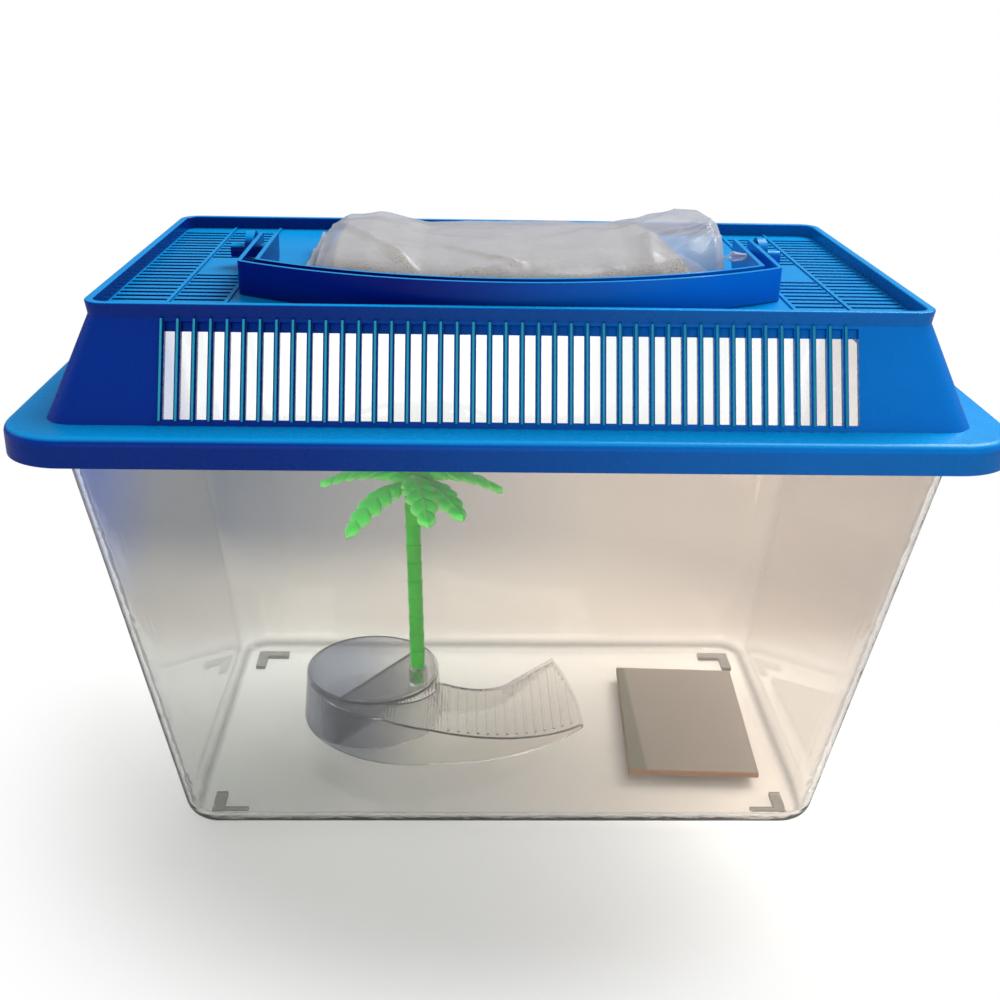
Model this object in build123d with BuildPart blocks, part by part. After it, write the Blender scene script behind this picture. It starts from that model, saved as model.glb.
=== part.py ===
from build123d import *
import os
from math import atan2, cos, hypot, radians, sin, sqrt

# Portable pet tank: a clear tub, a slotted lid with a folding carry handle,
# a clear basking island with a plug-in palm, a floor tile and a loose bag on the lid.
# Units are millimetres. The origin is on the floor under the middle of the tub,
# X runs along the tank, -Y is the front and +Z is up.

# Clearances shared by neighbouring pieces
seat_gap = 0.3
running_clearance = 0.08
side_clearance = 0.5

# Tub
tub_base_length = 224.5
tub_base_width = 133.2
tub_mouth_length = 273.6
tub_mouth_width = 172.2
tub_height = 157.0
tub_wall = 1.8
tub_floor = 2.4
tub_base_corner = 13.0
tub_mouth_corner = 12.0
tub_base_round = 8.0
foot_height = 1.6
foot_arm_length = 13.0
foot_arm_width = 4.0
rim_reach = 9.9
rim_thickness = 1.8
rim_lip_depth = 4.6
rim_corner = 17.0

# Lid shell
lid_wall = 2.0
skirt_wall = 2.2
skirt_height = 9.0
skirt_clearance = 1.1
skirt_edge_round = 2.6
flange_width = 12.06
dome_rise = 28.5
dome_inset_x = 11.7
dome_inset_y = 13.9
dome_foot_corner = 9.0
dome_top_corner = 6.5
lip_rise = 4.4
lip_flare = 0.7
deck_recess = 4.5
deck_thickness = 2.0
deck_edge_width = 3.0
deck_edge_depth = 2.0

# Lid grilles, front and rear
grille_count = 43
grille_pitch = 4.8
grille_slot_width = 3.1
grille_bottom = 1.7
grille_top_margin = 0.8
fin_width = 0.9
fin_height = 0.9
fin_overrun = 0.6

# Lid deck slots
deck_slot_pitch = 5.0
deck_slot_width = 2.2
deck_slot_end_margin = 5.0
deck_slot_lip_margin = 0.6
column_gap = 2.0
outer_column_length = 17.0
divider_width = 1.2
divider_height = 0.5
ear_pad_length = 26.0

# Handle, folded forward onto the deck
handle_half_width = 86.0
handle_strip_height = 10.5
handle_channel_width = 6.6
handle_wall = 1.4
handle_reach = 69.0
handle_corner_reach = 42.5
handle_tail = 5.0
handle_tail_round = 4.8
handle_pin_diameter = 4.7
handle_pin_overhang = 5.5

# Lid ears that carry the handle pins
ear_thickness = 3.0
ear_length = 13.0
ear_cap = 2.0

# Basking island
island_height = 19.7
island_wall = 1.2
island_draft = 4.0
basin_x = -50.3
basin_y = 8.8
basin_base_radius = 28.0
basin_top_radius = 26.4
basin_shoulder = (-76.0, -3.0)
apron_left = (-59.4, -23.0)
apron_front = (-26.4, -30.3)
apron_right = (2.0, -25.8)
ramp_tip_front = (34.4, -4.2)
ramp_end_bulge = (31.8, 22.0)
ramp_tip_back = (24.9, 45.5)
ramp_bend_end = (6.0, 19.5)
ramp_bend_middle = (-5.0, 9.0)
ramp_bend_start = (-20.0, 7.2)
ramp_top_x = -45.0
ramp_lip_height = 1.6
platform_drop = 0.7
platform_chord_offset = 3.8
platform_chord_angle = 54.0
ridge_count = 14
ridge_width = 1.0
ridge_height = 0.5
ridge_margin = 2.5

# Palm
palm_x = -32.3
palm_y = 10.6
palm_lean = 1.4
trunk_diameter = 5.4
trunk_ring = 0.35
trunk_segment = 7.8
trunk_segment_count = 10
trunk_plug_diameter = 4.6
trunk_plug_depth = 7.0
socket_wall = 1.3
socket_floor_gap = 0.4
crown_hub_diameter = 8.4
crown_hub_height = 5.0
crown_peg_diameter = 3.0
crown_peg_length = 4.0
leaf_length = 35.0
leaf_half_width = 6.4
leaf_thickness = 1.0
leaf_lobes = 5
leaf_root_half_width = 1.6
leaf_root_radius = 3.0
leaf_overrun = 2.0
leaf_rise = 3.2
leaf_crest_share = 0.3
leaf_swell = 0.8
leaf_notch_share = 0.72
leaf_tip_share = 0.6
lobe_lean = 0.18
# Leaves of the crown as (heading, drop at the tip, share of the hub's height)
palm_leaves = (
    (-134.0, 13.5, 0.3),
    (-78.0, 8.0, 0.8),
    (-56.0, 5.0, 0.3),
    (2.0, 9.0, 0.8),
    (60.0, 9.0, 0.3),
    (116.0, 8.0, 0.8),
    (174.0, 5.0, 0.55),
)

# Floor tile
tile_length = 49.0
tile_width = 76.0
tile_thickness = 2.4
tile_x = 75.2
tile_y = 0.6
tile_turn = -2.8
tile_edge = 0.5

# Bag resting inside the handle loop
bag_film_thickness = 0.4
bag_film_gap = 0.3
bag_film_wall = 0.8
# Sections of the bag as (x, height, half width, middle y)
film_sections = (
    (-64.0, 3.0, 39.0, -1.5),
    (-62.0, 11.5, 41.2, -1.5),
    (-56.0, 15.2, 43.6, -1.5),
    (-46.0, 15.4, 45.0, -1.5),
    (-37.0, 14.2, 45.3, -1.5),
    (-28.0, 12.2, 45.5, -1.5),
    (14.0, 12.8, 45.4, -1.5),
    (38.0, 13.2, 44.2, -1.5),
    (46.0, 15.0, 43.2, -1.5),
    (57.0, 17.6, 38.6, -2.8),
    (66.0, 20.2, 30.0, -6.0),
    (69.0, 19.0, 21.5, -10.0),
    (71.5, 8.0, 5.0, -18.5),
)
fill_sections = (
    (-60.0, 7.6, 38.0, -1.5),
    (-56.0, 12.4, 41.6, -1.5),
    (-46.0, 13.6, 43.2, -1.5),
    (-37.0, 12.5, 43.6, -1.5),
    (-28.0, 10.5, 43.8, -1.5),
    (14.0, 11.1, 43.6, -1.5),
    (38.0, 11.6, 42.4, -1.5),
    (46.0, 12.6, 41.2, -1.5),
    (53.0, 10.0, 37.6, -1.8),
    (61.0, 3.4, 29.0, -2.6),
)
# Outline of every section as shares of its half width and height
pillow_profile = (
    (1.0, 0.0),
    (0.96, 0.42),
    (0.84, 0.72),
    (0.62, 0.9),
    (0.32, 0.98),
    (0.0, 1.0),
)
tuft_length = 9.0
tuft_root_radius = 1.4
tuft_tip_radius = 1.5
tuft_y = -19.0
tuft_height = 6.6
tuft_rise = 2.6
tuft_waist_share = 0.4
tuft_waist_radius = 0.7
tuft_root_depth = 3.0


# Heights worked out from the sizes above
floor_top = foot_height + tub_floor
rim_bottom = tub_height - rim_thickness
flange_bottom = tub_height + seat_gap
flange_top = flange_bottom + lid_wall
skirt_bottom = flange_top - skirt_height
kink_z = flange_top + dome_rise
lip_top = kink_z + lip_rise
deck_top = lip_top - deck_recess
deck_bottom = deck_top - deck_thickness

# Plan sizes worked out from the sizes above
rim_length = tub_mouth_length + 2 * rim_reach
rim_width = tub_mouth_width + 2 * rim_reach
skirt_inner_length = rim_length + 2 * skirt_clearance
skirt_inner_width = rim_width + 2 * skirt_clearance
skirt_inner_corner = rim_corner + skirt_clearance
lid_length = skirt_inner_length + 2 * skirt_wall
lid_width = skirt_inner_width + 2 * skirt_wall
lid_corner = skirt_inner_corner + skirt_wall
dome_foot_length = lid_length - 2 * flange_width
dome_foot_width = lid_width - 2 * flange_width
dome_top_length = dome_foot_length - 2 * dome_inset_x
dome_top_width = dome_foot_width - 2 * dome_inset_y

os.makedirs("parts", exist_ok=True)


def blend(start, end, share):
    """Value part of the way from start to end."""
    return start + (end - start) * share


def tub_size(z, inset):
    """Length, width and corner radius of the tub's wall at a height."""
    share = (z - foot_height) / (tub_height - foot_height)
    length = blend(tub_base_length, tub_mouth_length, share) - 2 * inset
    width = blend(tub_base_width, tub_mouth_width, share) - 2 * inset
    corner = blend(tub_base_corner, tub_mouth_corner, share) - inset
    return length, width, corner


def dome_size(z, inset):
    """Length, width and corner radius of the lid's sloped wall at a height."""
    share = (z - flange_top) / dome_rise
    length = blend(dome_foot_length, dome_top_length, share) - 2 * inset
    width = blend(dome_foot_width, dome_top_width, share) - 2 * inset
    corner = blend(dome_foot_corner, dome_top_corner, share) - inset
    return length, width, corner


# Tub: tapered clear moulding with a flanged rim and four L-shaped feet
with BuildPart() as tub_cavity:
    for height in (floor_top, tub_height + tub_wall):
        with BuildSketch(Plane.XY.offset(height)):
            RectangleRounded(*tub_size(height, tub_wall))
    loft(ruled=True)
    cavity_floor = tub_cavity.edges().group_by(Axis.Z)[0]
    fillet(cavity_floor, tub_base_round - tub_wall)

with BuildPart() as tub:
    for height in (foot_height, tub_height):
        with BuildSketch(Plane.XY.offset(height)):
            RectangleRounded(*tub_size(height, 0))
    loft(ruled=True)
    underside = tub.edges().group_by(Axis.Z)[0]
    fillet(underside, tub_base_round)
    with BuildSketch(Plane.XY.offset(rim_bottom)):
        RectangleRounded(rim_length, rim_width, rim_corner)
    extrude(amount=rim_thickness)
    with BuildSketch(Plane.XY.offset(tub_height - rim_lip_depth)):
        RectangleRounded(rim_length, rim_width, rim_corner)
        lip_length = rim_length - 2 * rim_thickness
        lip_width = rim_width - 2 * rim_thickness
        RectangleRounded(lip_length, lip_width, rim_corner - rim_thickness, mode=Mode.SUBTRACT)
    extrude(amount=rim_lip_depth - rim_thickness / 2)
    add(tub_cavity.part, mode=Mode.SUBTRACT)
    with BuildSketch():
        foot_x = tub_base_length / 2 - tub_base_round
        foot_y = tub_base_width / 2 - tub_base_round
        for side_x in (-1, 1):
            for side_y in (-1, 1):
                long_x = side_x * (foot_x - foot_arm_length / 2)
                long_y = side_y * (foot_y - foot_arm_width / 2)
                with Locations((long_x, long_y)):
                    Rectangle(foot_arm_length, foot_arm_width)
                short_x = side_x * (foot_x - foot_arm_width / 2)
                short_y = side_y * (foot_y - foot_arm_length / 2)
                with Locations((short_x, short_y)):
                    Rectangle(foot_arm_width, foot_arm_length)
    extrude(amount=foot_height)

tub.part.label = "tank"
export_step(tub.part, "parts/tank.step")

# Planes lying in the lid's front and rear walls, with their Y axes running up the slope
wall_tilt = atan2(dome_inset_y, dome_rise)
grille_walls = []
for side in (-1, 1):
    wall_foot = (0, side * dome_foot_width / 2, flange_top)
    wall_normal = (0, side * cos(wall_tilt), sin(wall_tilt))
    grille_walls.append(Plane(origin=wall_foot, x_dir=(-side, 0, 0), z_dir=wall_normal))
slope_length = hypot(dome_inset_y, dome_rise)
slot_start = grille_bottom / cos(wall_tilt)
slot_end = slope_length - grille_top_margin / cos(wall_tilt)
slot_middle = (slot_start + slot_end) / 2
slot_run = slot_end - slot_start

with BuildPart() as grille_fins:
    for wall in grille_walls:
        with BuildSketch(wall.offset(-lid_wall / 2)):
            with Locations((-grille_pitch / 2, slot_middle)):
                with GridLocations(grille_pitch, 0, grille_count, 1):
                    Rectangle(fin_width, slot_run + 2 * fin_overrun)
        extrude(amount=fin_height + lid_wall / 2, clean=False)

# Slot columns at both ends of the deck
field_half = handle_half_width + side_clearance + ear_thickness / 2
deck_half_length = dome_top_length / 2 - lid_wall
deck_half_width = dome_top_width / 2 - lid_wall
outer_column_end = deck_half_length - deck_slot_lip_margin
outer_column_start = outer_column_end - outer_column_length
inner_column_end = outer_column_start - column_gap
inner_column_start = field_half + column_gap / 2
deck_slot_span = 2 * (deck_half_width - deck_slot_end_margin)
deck_slot_count = int(deck_slot_span // deck_slot_pitch)
if deck_slot_count % 2 == 0:
    deck_slot_count = deck_slot_count - 1

with BuildPart() as lid_slots:
    for wall in grille_walls:
        with BuildSketch(wall):
            with Locations((0, slot_middle)):
                with GridLocations(grille_pitch, 0, grille_count, 1):
                    Rectangle(grille_slot_width, slot_run)
        extrude(amount=lid_wall, both=True, clean=False)
    with BuildSketch(Plane.XY.offset(deck_bottom - deck_edge_depth)):
        for side in (-1, 1):
            columns = ((outer_column_start, outer_column_end), (inner_column_start, inner_column_end))
            for column_start, column_end in columns:
                column_middle = side * (column_start + column_end) / 2
                with Locations((column_middle, 0)):
                    with GridLocations(0, deck_slot_pitch, 1, deck_slot_count):
                        Rectangle(column_end - column_start, deck_slot_width)
        for side in (-1, 1):
            pad_middle = side * (inner_column_start + inner_column_end) / 2
            with Locations((pad_middle, 0)):
                pad_width = inner_column_end - inner_column_start
                Rectangle(pad_width, ear_pad_length, mode=Mode.SUBTRACT)
    extrude(amount=deck_thickness + deck_edge_depth + divider_height, clean=False)

# Handle axis and the ears beside its arms
pivot_z = deck_top + seat_gap + handle_strip_height / 2
ear_inner = handle_half_width + side_clearance
ear_top_radius = ear_length / 2
ear_top = pivot_z + ear_cap + handle_pin_diameter
pin_hole_diameter = handle_pin_diameter + 2 * running_clearance

with BuildPart() as lid_cavity:
    with BuildSketch(Plane.XY.offset(skirt_bottom - lid_wall)):
        RectangleRounded(skirt_inner_length, skirt_inner_width, skirt_inner_corner)
    extrude(amount=flange_bottom - skirt_bottom + lid_wall)
    for height in (flange_bottom, deck_bottom - deck_edge_depth):
        with BuildSketch(Plane.XY.offset(height)):
            RectangleRounded(*dome_size(height, lid_wall))
    loft(ruled=True)
    with BuildSketch(Plane.XY.offset(deck_bottom - deck_edge_depth)):
        well_length, well_width, well_corner = dome_size(deck_bottom, lid_wall + deck_edge_width)
        RectangleRounded(well_length, well_width, well_corner)
    extrude(amount=deck_edge_depth)

with BuildPart() as lid:
    with BuildSketch(Plane.XY.offset(skirt_bottom)):
        RectangleRounded(lid_length, lid_width, lid_corner)
    extrude(amount=skirt_height)
    skirt_shoulder = lid.edges().group_by(Axis.Z)[-1]
    fillet(skirt_shoulder, skirt_edge_round)
    for height in (flange_top, kink_z):
        with BuildSketch(Plane.XY.offset(height)):
            RectangleRounded(*dome_size(height, 0))
    loft(ruled=True)
    for height, flare in ((kink_z, 0), (lip_top, lip_flare)):
        with BuildSketch(Plane.XY.offset(height)):
            lip_outer_length = dome_top_length + 2 * flare
            lip_outer_width = dome_top_width + 2 * flare
            RectangleRounded(lip_outer_length, lip_outer_width, dome_top_corner + flare)
    loft(ruled=True)
    with BuildSketch(Plane.XY.offset(deck_top)):
        recess_corner = dome_top_corner - lid_wall
        RectangleRounded(2 * deck_half_length, 2 * deck_half_width, recess_corner)
    extrude(amount=lip_top - deck_top, mode=Mode.SUBTRACT)
    add(lid_cavity.part, mode=Mode.SUBTRACT)
    lip_edges = lid.edges().group_by(Axis.Z)[-1]
    fillet(lip_edges, lid_wall / 4)
    with BuildSketch(Plane.XY.offset(deck_top)):
        for side in (-1, 1):
            for divider_x in (field_half, (outer_column_start + inner_column_end) / 2):
                with Locations((side * divider_x, 0)):
                    Rectangle(divider_width, 2 * deck_half_width)
    extrude(amount=divider_height, clean=False)
    for side in (-1, 1):
        with BuildSketch(Plane.YZ.offset(side * ear_inner)):
            ear_straight = ear_top - ear_top_radius
            with Locations((0, (deck_bottom + ear_straight) / 2)):
                Rectangle(ear_length, ear_straight - deck_bottom)
            with Locations((0, ear_straight)):
                Circle(ear_top_radius)
            with Locations((0, pivot_z)):
                Circle(pin_hole_diameter / 2, mode=Mode.SUBTRACT)
        extrude(amount=side * ear_thickness, clean=False)
    add(grille_fins.part, clean=False)
    add(lid_slots.part, clean=False, mode=Mode.SUBTRACT)

lid.part.label = "lid"
export_step(lid.part, "parts/lid.step")

# Handle: a channel-section loop with a bowed front and a pin at each arm's end
bow_sagitta = handle_reach - handle_corner_reach
bow_radius = (handle_half_width**2 + bow_sagitta**2) / (2 * bow_sagitta)
bow_centre_y = bow_radius - handle_reach
handle_bottom = deck_top + seat_gap


def loop_face(inset, tail):
    """Face inside the handle's outline, drawn in by inset and reaching back to tail."""
    half = handle_half_width - inset
    radius = bow_radius - inset
    corner_y = bow_centre_y - sqrt(radius**2 - half**2)
    front_y = bow_centre_y - radius
    with BuildSketch() as outline:
        with BuildLine():
            Polyline((-half, corner_y), (-half, tail), (half, tail), (half, corner_y))
            ThreePointArc((-half, corner_y), (0, front_y), (half, corner_y))
        make_face()
    return outline.sketch


with BuildPart() as handle:
    with BuildSketch(Plane.XY.offset(handle_bottom)):
        add(loop_face(0, handle_tail))
        add(loop_face(handle_channel_width, 2 * handle_tail), mode=Mode.SUBTRACT)
    extrude(amount=handle_strip_height)
    corner_edges = handle.edges().filter_by(Axis.Z).group_by(Axis.Y)[0]
    fillet(corner_edges, handle_channel_width / 2)
    tail_edges = handle.edges().filter_by(Axis.X).group_by(Axis.Y)[-1].group_by(Axis.Z)[0]
    fillet(tail_edges, handle_tail_round)
    with BuildSketch(Plane.XY.offset(handle_bottom + handle_wall)):
        add(loop_face(handle_wall, 2 * handle_tail))
        add(loop_face(handle_channel_width - handle_wall, 3 * handle_tail), mode=Mode.SUBTRACT)
    extrude(amount=handle_strip_height, mode=Mode.SUBTRACT)
    pin_start = handle_half_width - handle_channel_width
    pin_end = ear_inner + ear_thickness + handle_pin_overhang
    for side in (-1, 1):
        with BuildSketch(Plane.YZ.offset(side * pin_start)):
            with Locations((0, pivot_z)):
                Circle(handle_pin_diameter / 2)
        extrude(amount=side * (pin_end - pin_start))

handle.part.label = "handle"
export_step(handle.part, "parts/handle.step")

# Island: thin clear shell, a round basin with a flat platform and a curved ramp
island_bottom = floor_top + seat_gap
island_top = island_bottom + island_height
platform_top = island_top - platform_drop
platform_bottom = platform_top - island_wall
basin_floor_top = island_bottom + island_wall
ramp_run = ramp_tip_front[0] - ramp_top_x
ramp_fall = platform_top - island_bottom - ramp_lip_height
ramp_slope = atan2(ramp_fall, ramp_run)


def island_outline():
    """Outline of the island's foot, with the ramp and the apron round the basin."""
    with BuildSketch() as outline:
        with BuildLine():
            ThreePointArc(basin_shoulder, apron_left, apron_front)
            ThreePointArc(apron_front, apron_right, ramp_tip_front)
            ThreePointArc(ramp_tip_front, ramp_end_bulge, ramp_tip_back)
            Line(ramp_tip_back, ramp_bend_end)
            ThreePointArc(ramp_bend_end, ramp_bend_middle, ramp_bend_start)
            Line(ramp_bend_start, (basin_x, basin_y))
            Line((basin_x, basin_y), basin_shoulder)
        make_face()
    return outline.sketch


def ramp_cutter(drop):
    """Everything above the ramp's surface, with the surface lowered by drop."""
    above = 3 * island_height
    start_x = ramp_top_x
    start_z = platform_top - drop
    end_x = ramp_tip_front[0] + ridge_margin
    end_z = start_z - (end_x - start_x) * ramp_fall / ramp_run
    left_x = basin_x - 2 * basin_base_radius
    with BuildPart() as cutter:
        with BuildSketch(Plane.XZ):
            with BuildLine():
                Polyline(
                    (left_x, start_z),
                    (start_x, start_z),
                    (end_x, end_z),
                    (end_x, above),
                    (left_x, above),
                    close=True,
                )
            make_face()
        extrude(amount=3 * basin_base_radius, both=True)
    return cutter.part


def basin_cone(inset, bottom, top):
    """Tapered round plug that follows the basin's wall between two heights."""
    with BuildPart() as plug:
        for height in (bottom, top):
            share = (height - island_bottom) / island_height
            radius = blend(basin_base_radius, basin_top_radius, share) - inset
            with BuildSketch(Plane.XY.offset(height)):
                with Locations((basin_x, basin_y)):
                    Circle(radius)
        loft(ruled=True)
    return plug.part


chord_turn = radians(platform_chord_angle)
chord_x = basin_x + platform_chord_offset * sin(chord_turn)
chord_y = basin_y - platform_chord_offset * cos(chord_turn)
chord_direction = (cos(chord_turn), sin(chord_turn), 0)
chord_plane = Plane(origin=(chord_x, chord_y, 0), x_dir=chord_direction, z_dir=(0, 0, 1))


def chord_side(toward_basin, gap):
    """Block on one side of the platform's straight edge, set back by gap."""
    reach = 2 * basin_base_radius
    offset_y = toward_basin * (gap + reach / 2)
    with BuildPart() as block:
        with BuildSketch(chord_plane):
            with Locations((0, offset_y)):
                Rectangle(2 * reach, reach)
        extrude(amount=3 * island_height)
    return block.part


lean = radians(palm_lean)
palm_plane = Plane(
    origin=(palm_x, palm_y, platform_top),
    x_dir=(cos(lean), 0, sin(lean)),
    z_dir=(-sin(lean), 0, cos(lean)),
)
socket_bore = trunk_plug_diameter + 2 * running_clearance
socket_depth = trunk_plug_depth + socket_floor_gap

with BuildPart() as ramp_shell:
    with BuildSketch(Plane.XY.offset(island_bottom)):
        add(island_outline())
    extrude(amount=island_height, taper=island_draft)
    add(ramp_cutter(0), mode=Mode.SUBTRACT)

with BuildPart() as ramp_void:
    with BuildSketch(Plane.XY.offset(island_bottom)):
        add(island_outline())
        offset(amount=-island_wall, kind=Kind.INTERSECTION)
    extrude(amount=island_height, taper=island_draft)
    add(ramp_cutter(island_wall), mode=Mode.SUBTRACT)

with BuildPart() as basin_void:
    add(basin_cone(island_wall, basin_floor_top, island_top))
    add(chord_side(1, 0), mode=Mode.INTERSECT)

with BuildPart() as under_platform:
    add(basin_cone(island_wall, island_bottom, platform_bottom))
    add(chord_side(-1, island_wall), mode=Mode.INTERSECT)

with BuildPart() as over_platform:
    add(basin_cone(island_wall, platform_top, island_top))
    add(chord_side(-1, 0), mode=Mode.INTERSECT)

with BuildPart() as ramp_ridges:
    ridge_plane = Plane(
        origin=(ramp_top_x, 0, platform_top),
        x_dir=(cos(ramp_slope), 0, -sin(ramp_slope)),
        z_dir=(sin(ramp_slope), 0, cos(ramp_slope)),
    )
    ridge_first = -ramp_top_x + basin_x + basin_top_radius + 2 * ridge_margin
    ridge_last = hypot(ramp_run, ramp_fall) - 2 * ridge_margin
    ridge_pitch = (ridge_last - ridge_first) / (ridge_count - 1)
    with BuildSketch(ridge_plane):
        for ridge in range(ridge_count):
            with Locations((ridge_first + ridge * ridge_pitch, 0)):
                Rectangle(ridge_width, 4 * basin_base_radius)
    extrude(amount=ridge_height)
    with BuildSketch(Plane.XY.offset(island_bottom)):
        add(island_outline())
        offset(amount=-ridge_margin, kind=Kind.INTERSECTION)
    extrude(amount=2 * island_height, mode=Mode.INTERSECT)

with BuildPart() as island:
    add(ramp_shell.part)
    add(ramp_ridges.part)
    add(basin_cone(0, island_bottom, island_top))
    add(ramp_void.part, mode=Mode.SUBTRACT)
    add(basin_cone(0, island_bottom, island_top) & chord_side(1, -island_wall))
    add(basin_cone(0, island_bottom, island_top) - basin_cone(island_wall, island_bottom, island_top))
    add(under_platform.part, mode=Mode.SUBTRACT)
    add(over_platform.part, mode=Mode.SUBTRACT)
    add(basin_void.part, clean=False, mode=Mode.SUBTRACT)
    with BuildSketch(palm_plane.offset(-socket_depth - socket_wall)):
        Circle(socket_bore / 2 + socket_wall)
    extrude(amount=socket_depth + socket_wall - running_clearance, clean=False)
    with BuildSketch(palm_plane.offset(-socket_depth)):
        Circle(socket_bore / 2)
    extrude(amount=socket_depth + platform_drop, clean=False, mode=Mode.SUBTRACT)

island.part.label = "island"
export_step(island.part, "parts/island.step")

# Palm trunk: ringed segments on a plug that sits in the island's socket
trunk_length = trunk_segment * trunk_segment_count
trunk_top = seat_gap + trunk_length

with BuildPart() as trunk:
    with BuildSketch(Plane.XZ):
        with BuildLine():
            trunk_radius = trunk_diameter / 2
            points = [(0, -trunk_plug_depth), (trunk_plug_diameter / 2, -trunk_plug_depth)]
            points.append((trunk_plug_diameter / 2, seat_gap))
            for segment in range(trunk_segment_count):
                segment_bottom = seat_gap + segment * trunk_segment
                points.append((trunk_radius, segment_bottom))
                points.append((trunk_radius + trunk_ring, segment_bottom + trunk_segment))
            points.append((0, trunk_top))
            Polyline(*points, close=True)
        make_face()
    revolve(axis=Axis.Z)
    with BuildSketch(Plane.XY.offset(trunk_top)):
        Circle(crown_peg_diameter / 2 + running_clearance)
    extrude(amount=-(crown_peg_length + running_clearance), mode=Mode.SUBTRACT)

palm_trunk = palm_plane.location * trunk.part
palm_trunk.label = "palm_trunk"
export_step(palm_trunk, "parts/palm_trunk.step")


# Palm crown: arched lobed leaves round a hub with a peg into the trunk
def leaf_outline():
    """Lobed leaf seen from above, running out along X."""
    lobe_length = (leaf_length - leaf_root_radius) / (leaf_lobes + 1)
    with BuildSketch() as outline:
        with BuildLine():
            for side in (-1, 1):
                start = (leaf_root_radius, side * leaf_root_half_width)
                for lobe in range(leaf_lobes):
                    share = (lobe + 1) / (leaf_lobes + 1)
                    bulge = leaf_half_width * sin(radians(180 * share**leaf_swell))
                    notch = max(bulge * leaf_notch_share, leaf_root_half_width * leaf_tip_share)
                    end = (leaf_root_radius + (lobe + 1) * lobe_length, side * notch)
                    middle_x = (start[0] + end[0]) / 2 + lobe_length * lobe_lean
                    middle_y = side * max(bulge, abs(start[1]))
                    ThreePointArc(start, (middle_x, middle_y), end)
                    start = end
                Line(start, (leaf_length, 0))
            root_corner = (leaf_root_radius, -leaf_root_half_width)
            Line(root_corner, (leaf_root_radius, leaf_root_half_width))
        make_face()
    return outline.sketch


def leaf(drop):
    """Leaf arched up from the hub and drooping to its tip by drop."""
    rise_x = leaf_length * leaf_crest_share
    end_x = leaf_length + leaf_overrun
    with BuildPart() as blade:
        with BuildSketch(Plane.XZ):
            with BuildLine():
                ThreePointArc((0, 0), (rise_x, leaf_rise), (end_x, -drop))
                Line((end_x, -drop), (end_x, -drop - leaf_thickness))
                ThreePointArc(
                    (end_x, -drop - leaf_thickness),
                    (rise_x, leaf_rise - leaf_thickness),
                    (0, -leaf_thickness),
                )
                Line((0, -leaf_thickness), (0, 0))
            make_face()
        extrude(amount=2 * leaf_half_width, both=True)
        with BuildSketch(Plane.XY.offset(-leaf_length)):
            add(leaf_outline())
        extrude(amount=2 * leaf_length, mode=Mode.INTERSECT)
    return blade.part


with BuildPart() as crown:
    with BuildSketch(Plane.XY.offset(trunk_top)):
        Circle(crown_hub_diameter / 2)
    extrude(amount=crown_hub_height)
    hub_top = crown.edges().group_by(Axis.Z)[-1]
    fillet(hub_top, crown_hub_height / 3)
    with BuildSketch(Plane.XY.offset(trunk_top - crown_peg_length)):
        Circle(crown_peg_diameter / 2)
    extrude(amount=crown_peg_length)
    leaves = []
    for heading, drop, hub_share in palm_leaves:
        leaf_height = trunk_top + crown_hub_height * hub_share
        leaves.append(Pos(0, 0, leaf_height) * Rot(0, 0, heading) * leaf(drop))
    add(leaves, clean=False)

palm_crown = palm_plane.location * crown.part
palm_crown.label = "palm_crown"
export_step(palm_crown, "parts/palm_crown.step")

# Floor tile
tile_turned = Plane(origin=(tile_x, tile_y, floor_top + seat_gap)).rotated((0, 0, tile_turn))
with BuildPart() as tile:
    with BuildSketch(tile_turned):
        Rectangle(tile_length, tile_width)
    extrude(amount=tile_thickness)
    chamfer(tile.edges().group_by(Axis.Z)[-1], tile_edge)

tile.part.label = "floor_tile"
export_step(tile.part, "parts/floor_tile.step")


# Bag: a clear film pillow with its fill, lying on the deck inside the handle loop
bag_bottom = deck_top + seat_gap


def pillow(sections, grow, bottom):
    """Closed flat-bottomed pillow through the sections, each section grown sideways and upwards."""
    last = len(sections) - 1
    with BuildPart() as body:
        for index, (section_x, height, half_width, middle_y) in enumerate(sections):
            end_push = grow if index == last else -grow if index == 0 else 0
            top = bag_bottom + height + grow
            right_side = []
            left_side = []
            for side_share, rise_share in pillow_profile:
                y = side_share * (half_width + grow)
                z = blend(bottom, top, rise_share)
                right_side.append((middle_y + y, z))
                left_side.append((middle_y - y, z))
            with BuildSketch(Plane.YZ.offset(section_x + end_push)):
                with BuildLine():
                    Polyline(*right_side, *reversed(left_side[:-1]), close=True)
                make_face()
        loft(ruled=True)
    return body.part


fill_bottom = bag_bottom + bag_film_thickness + bag_film_gap
bag_fill = pillow(fill_sections, 0, fill_bottom)
bag_fill.label = "bag_fill"
export_step(bag_fill, "parts/bag_fill.step")

tuft_base = film_sections[-1][0] - tuft_root_depth
tuft_z = bag_bottom + tuft_height
tuft_sections = (
    (0, tuft_root_radius),
    (tuft_waist_share, tuft_waist_radius),
    (1, tuft_tip_radius),
)

with BuildPart() as bag:
    add(pillow(film_sections, 0, bag_bottom))
    for share, radius in tuft_sections:
        with BuildSketch(Plane.YZ.offset(tuft_base + tuft_length * share)):
            with Locations((tuft_y, tuft_z + tuft_rise * share)):
                Circle(radius)
    loft(ruled=True)
    add(pillow(film_sections, -bag_film_wall, bag_bottom + bag_film_thickness), mode=Mode.SUBTRACT)

bag.part.label = "bag_film"
export_step(bag.part, "parts/bag_film.step")
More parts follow.
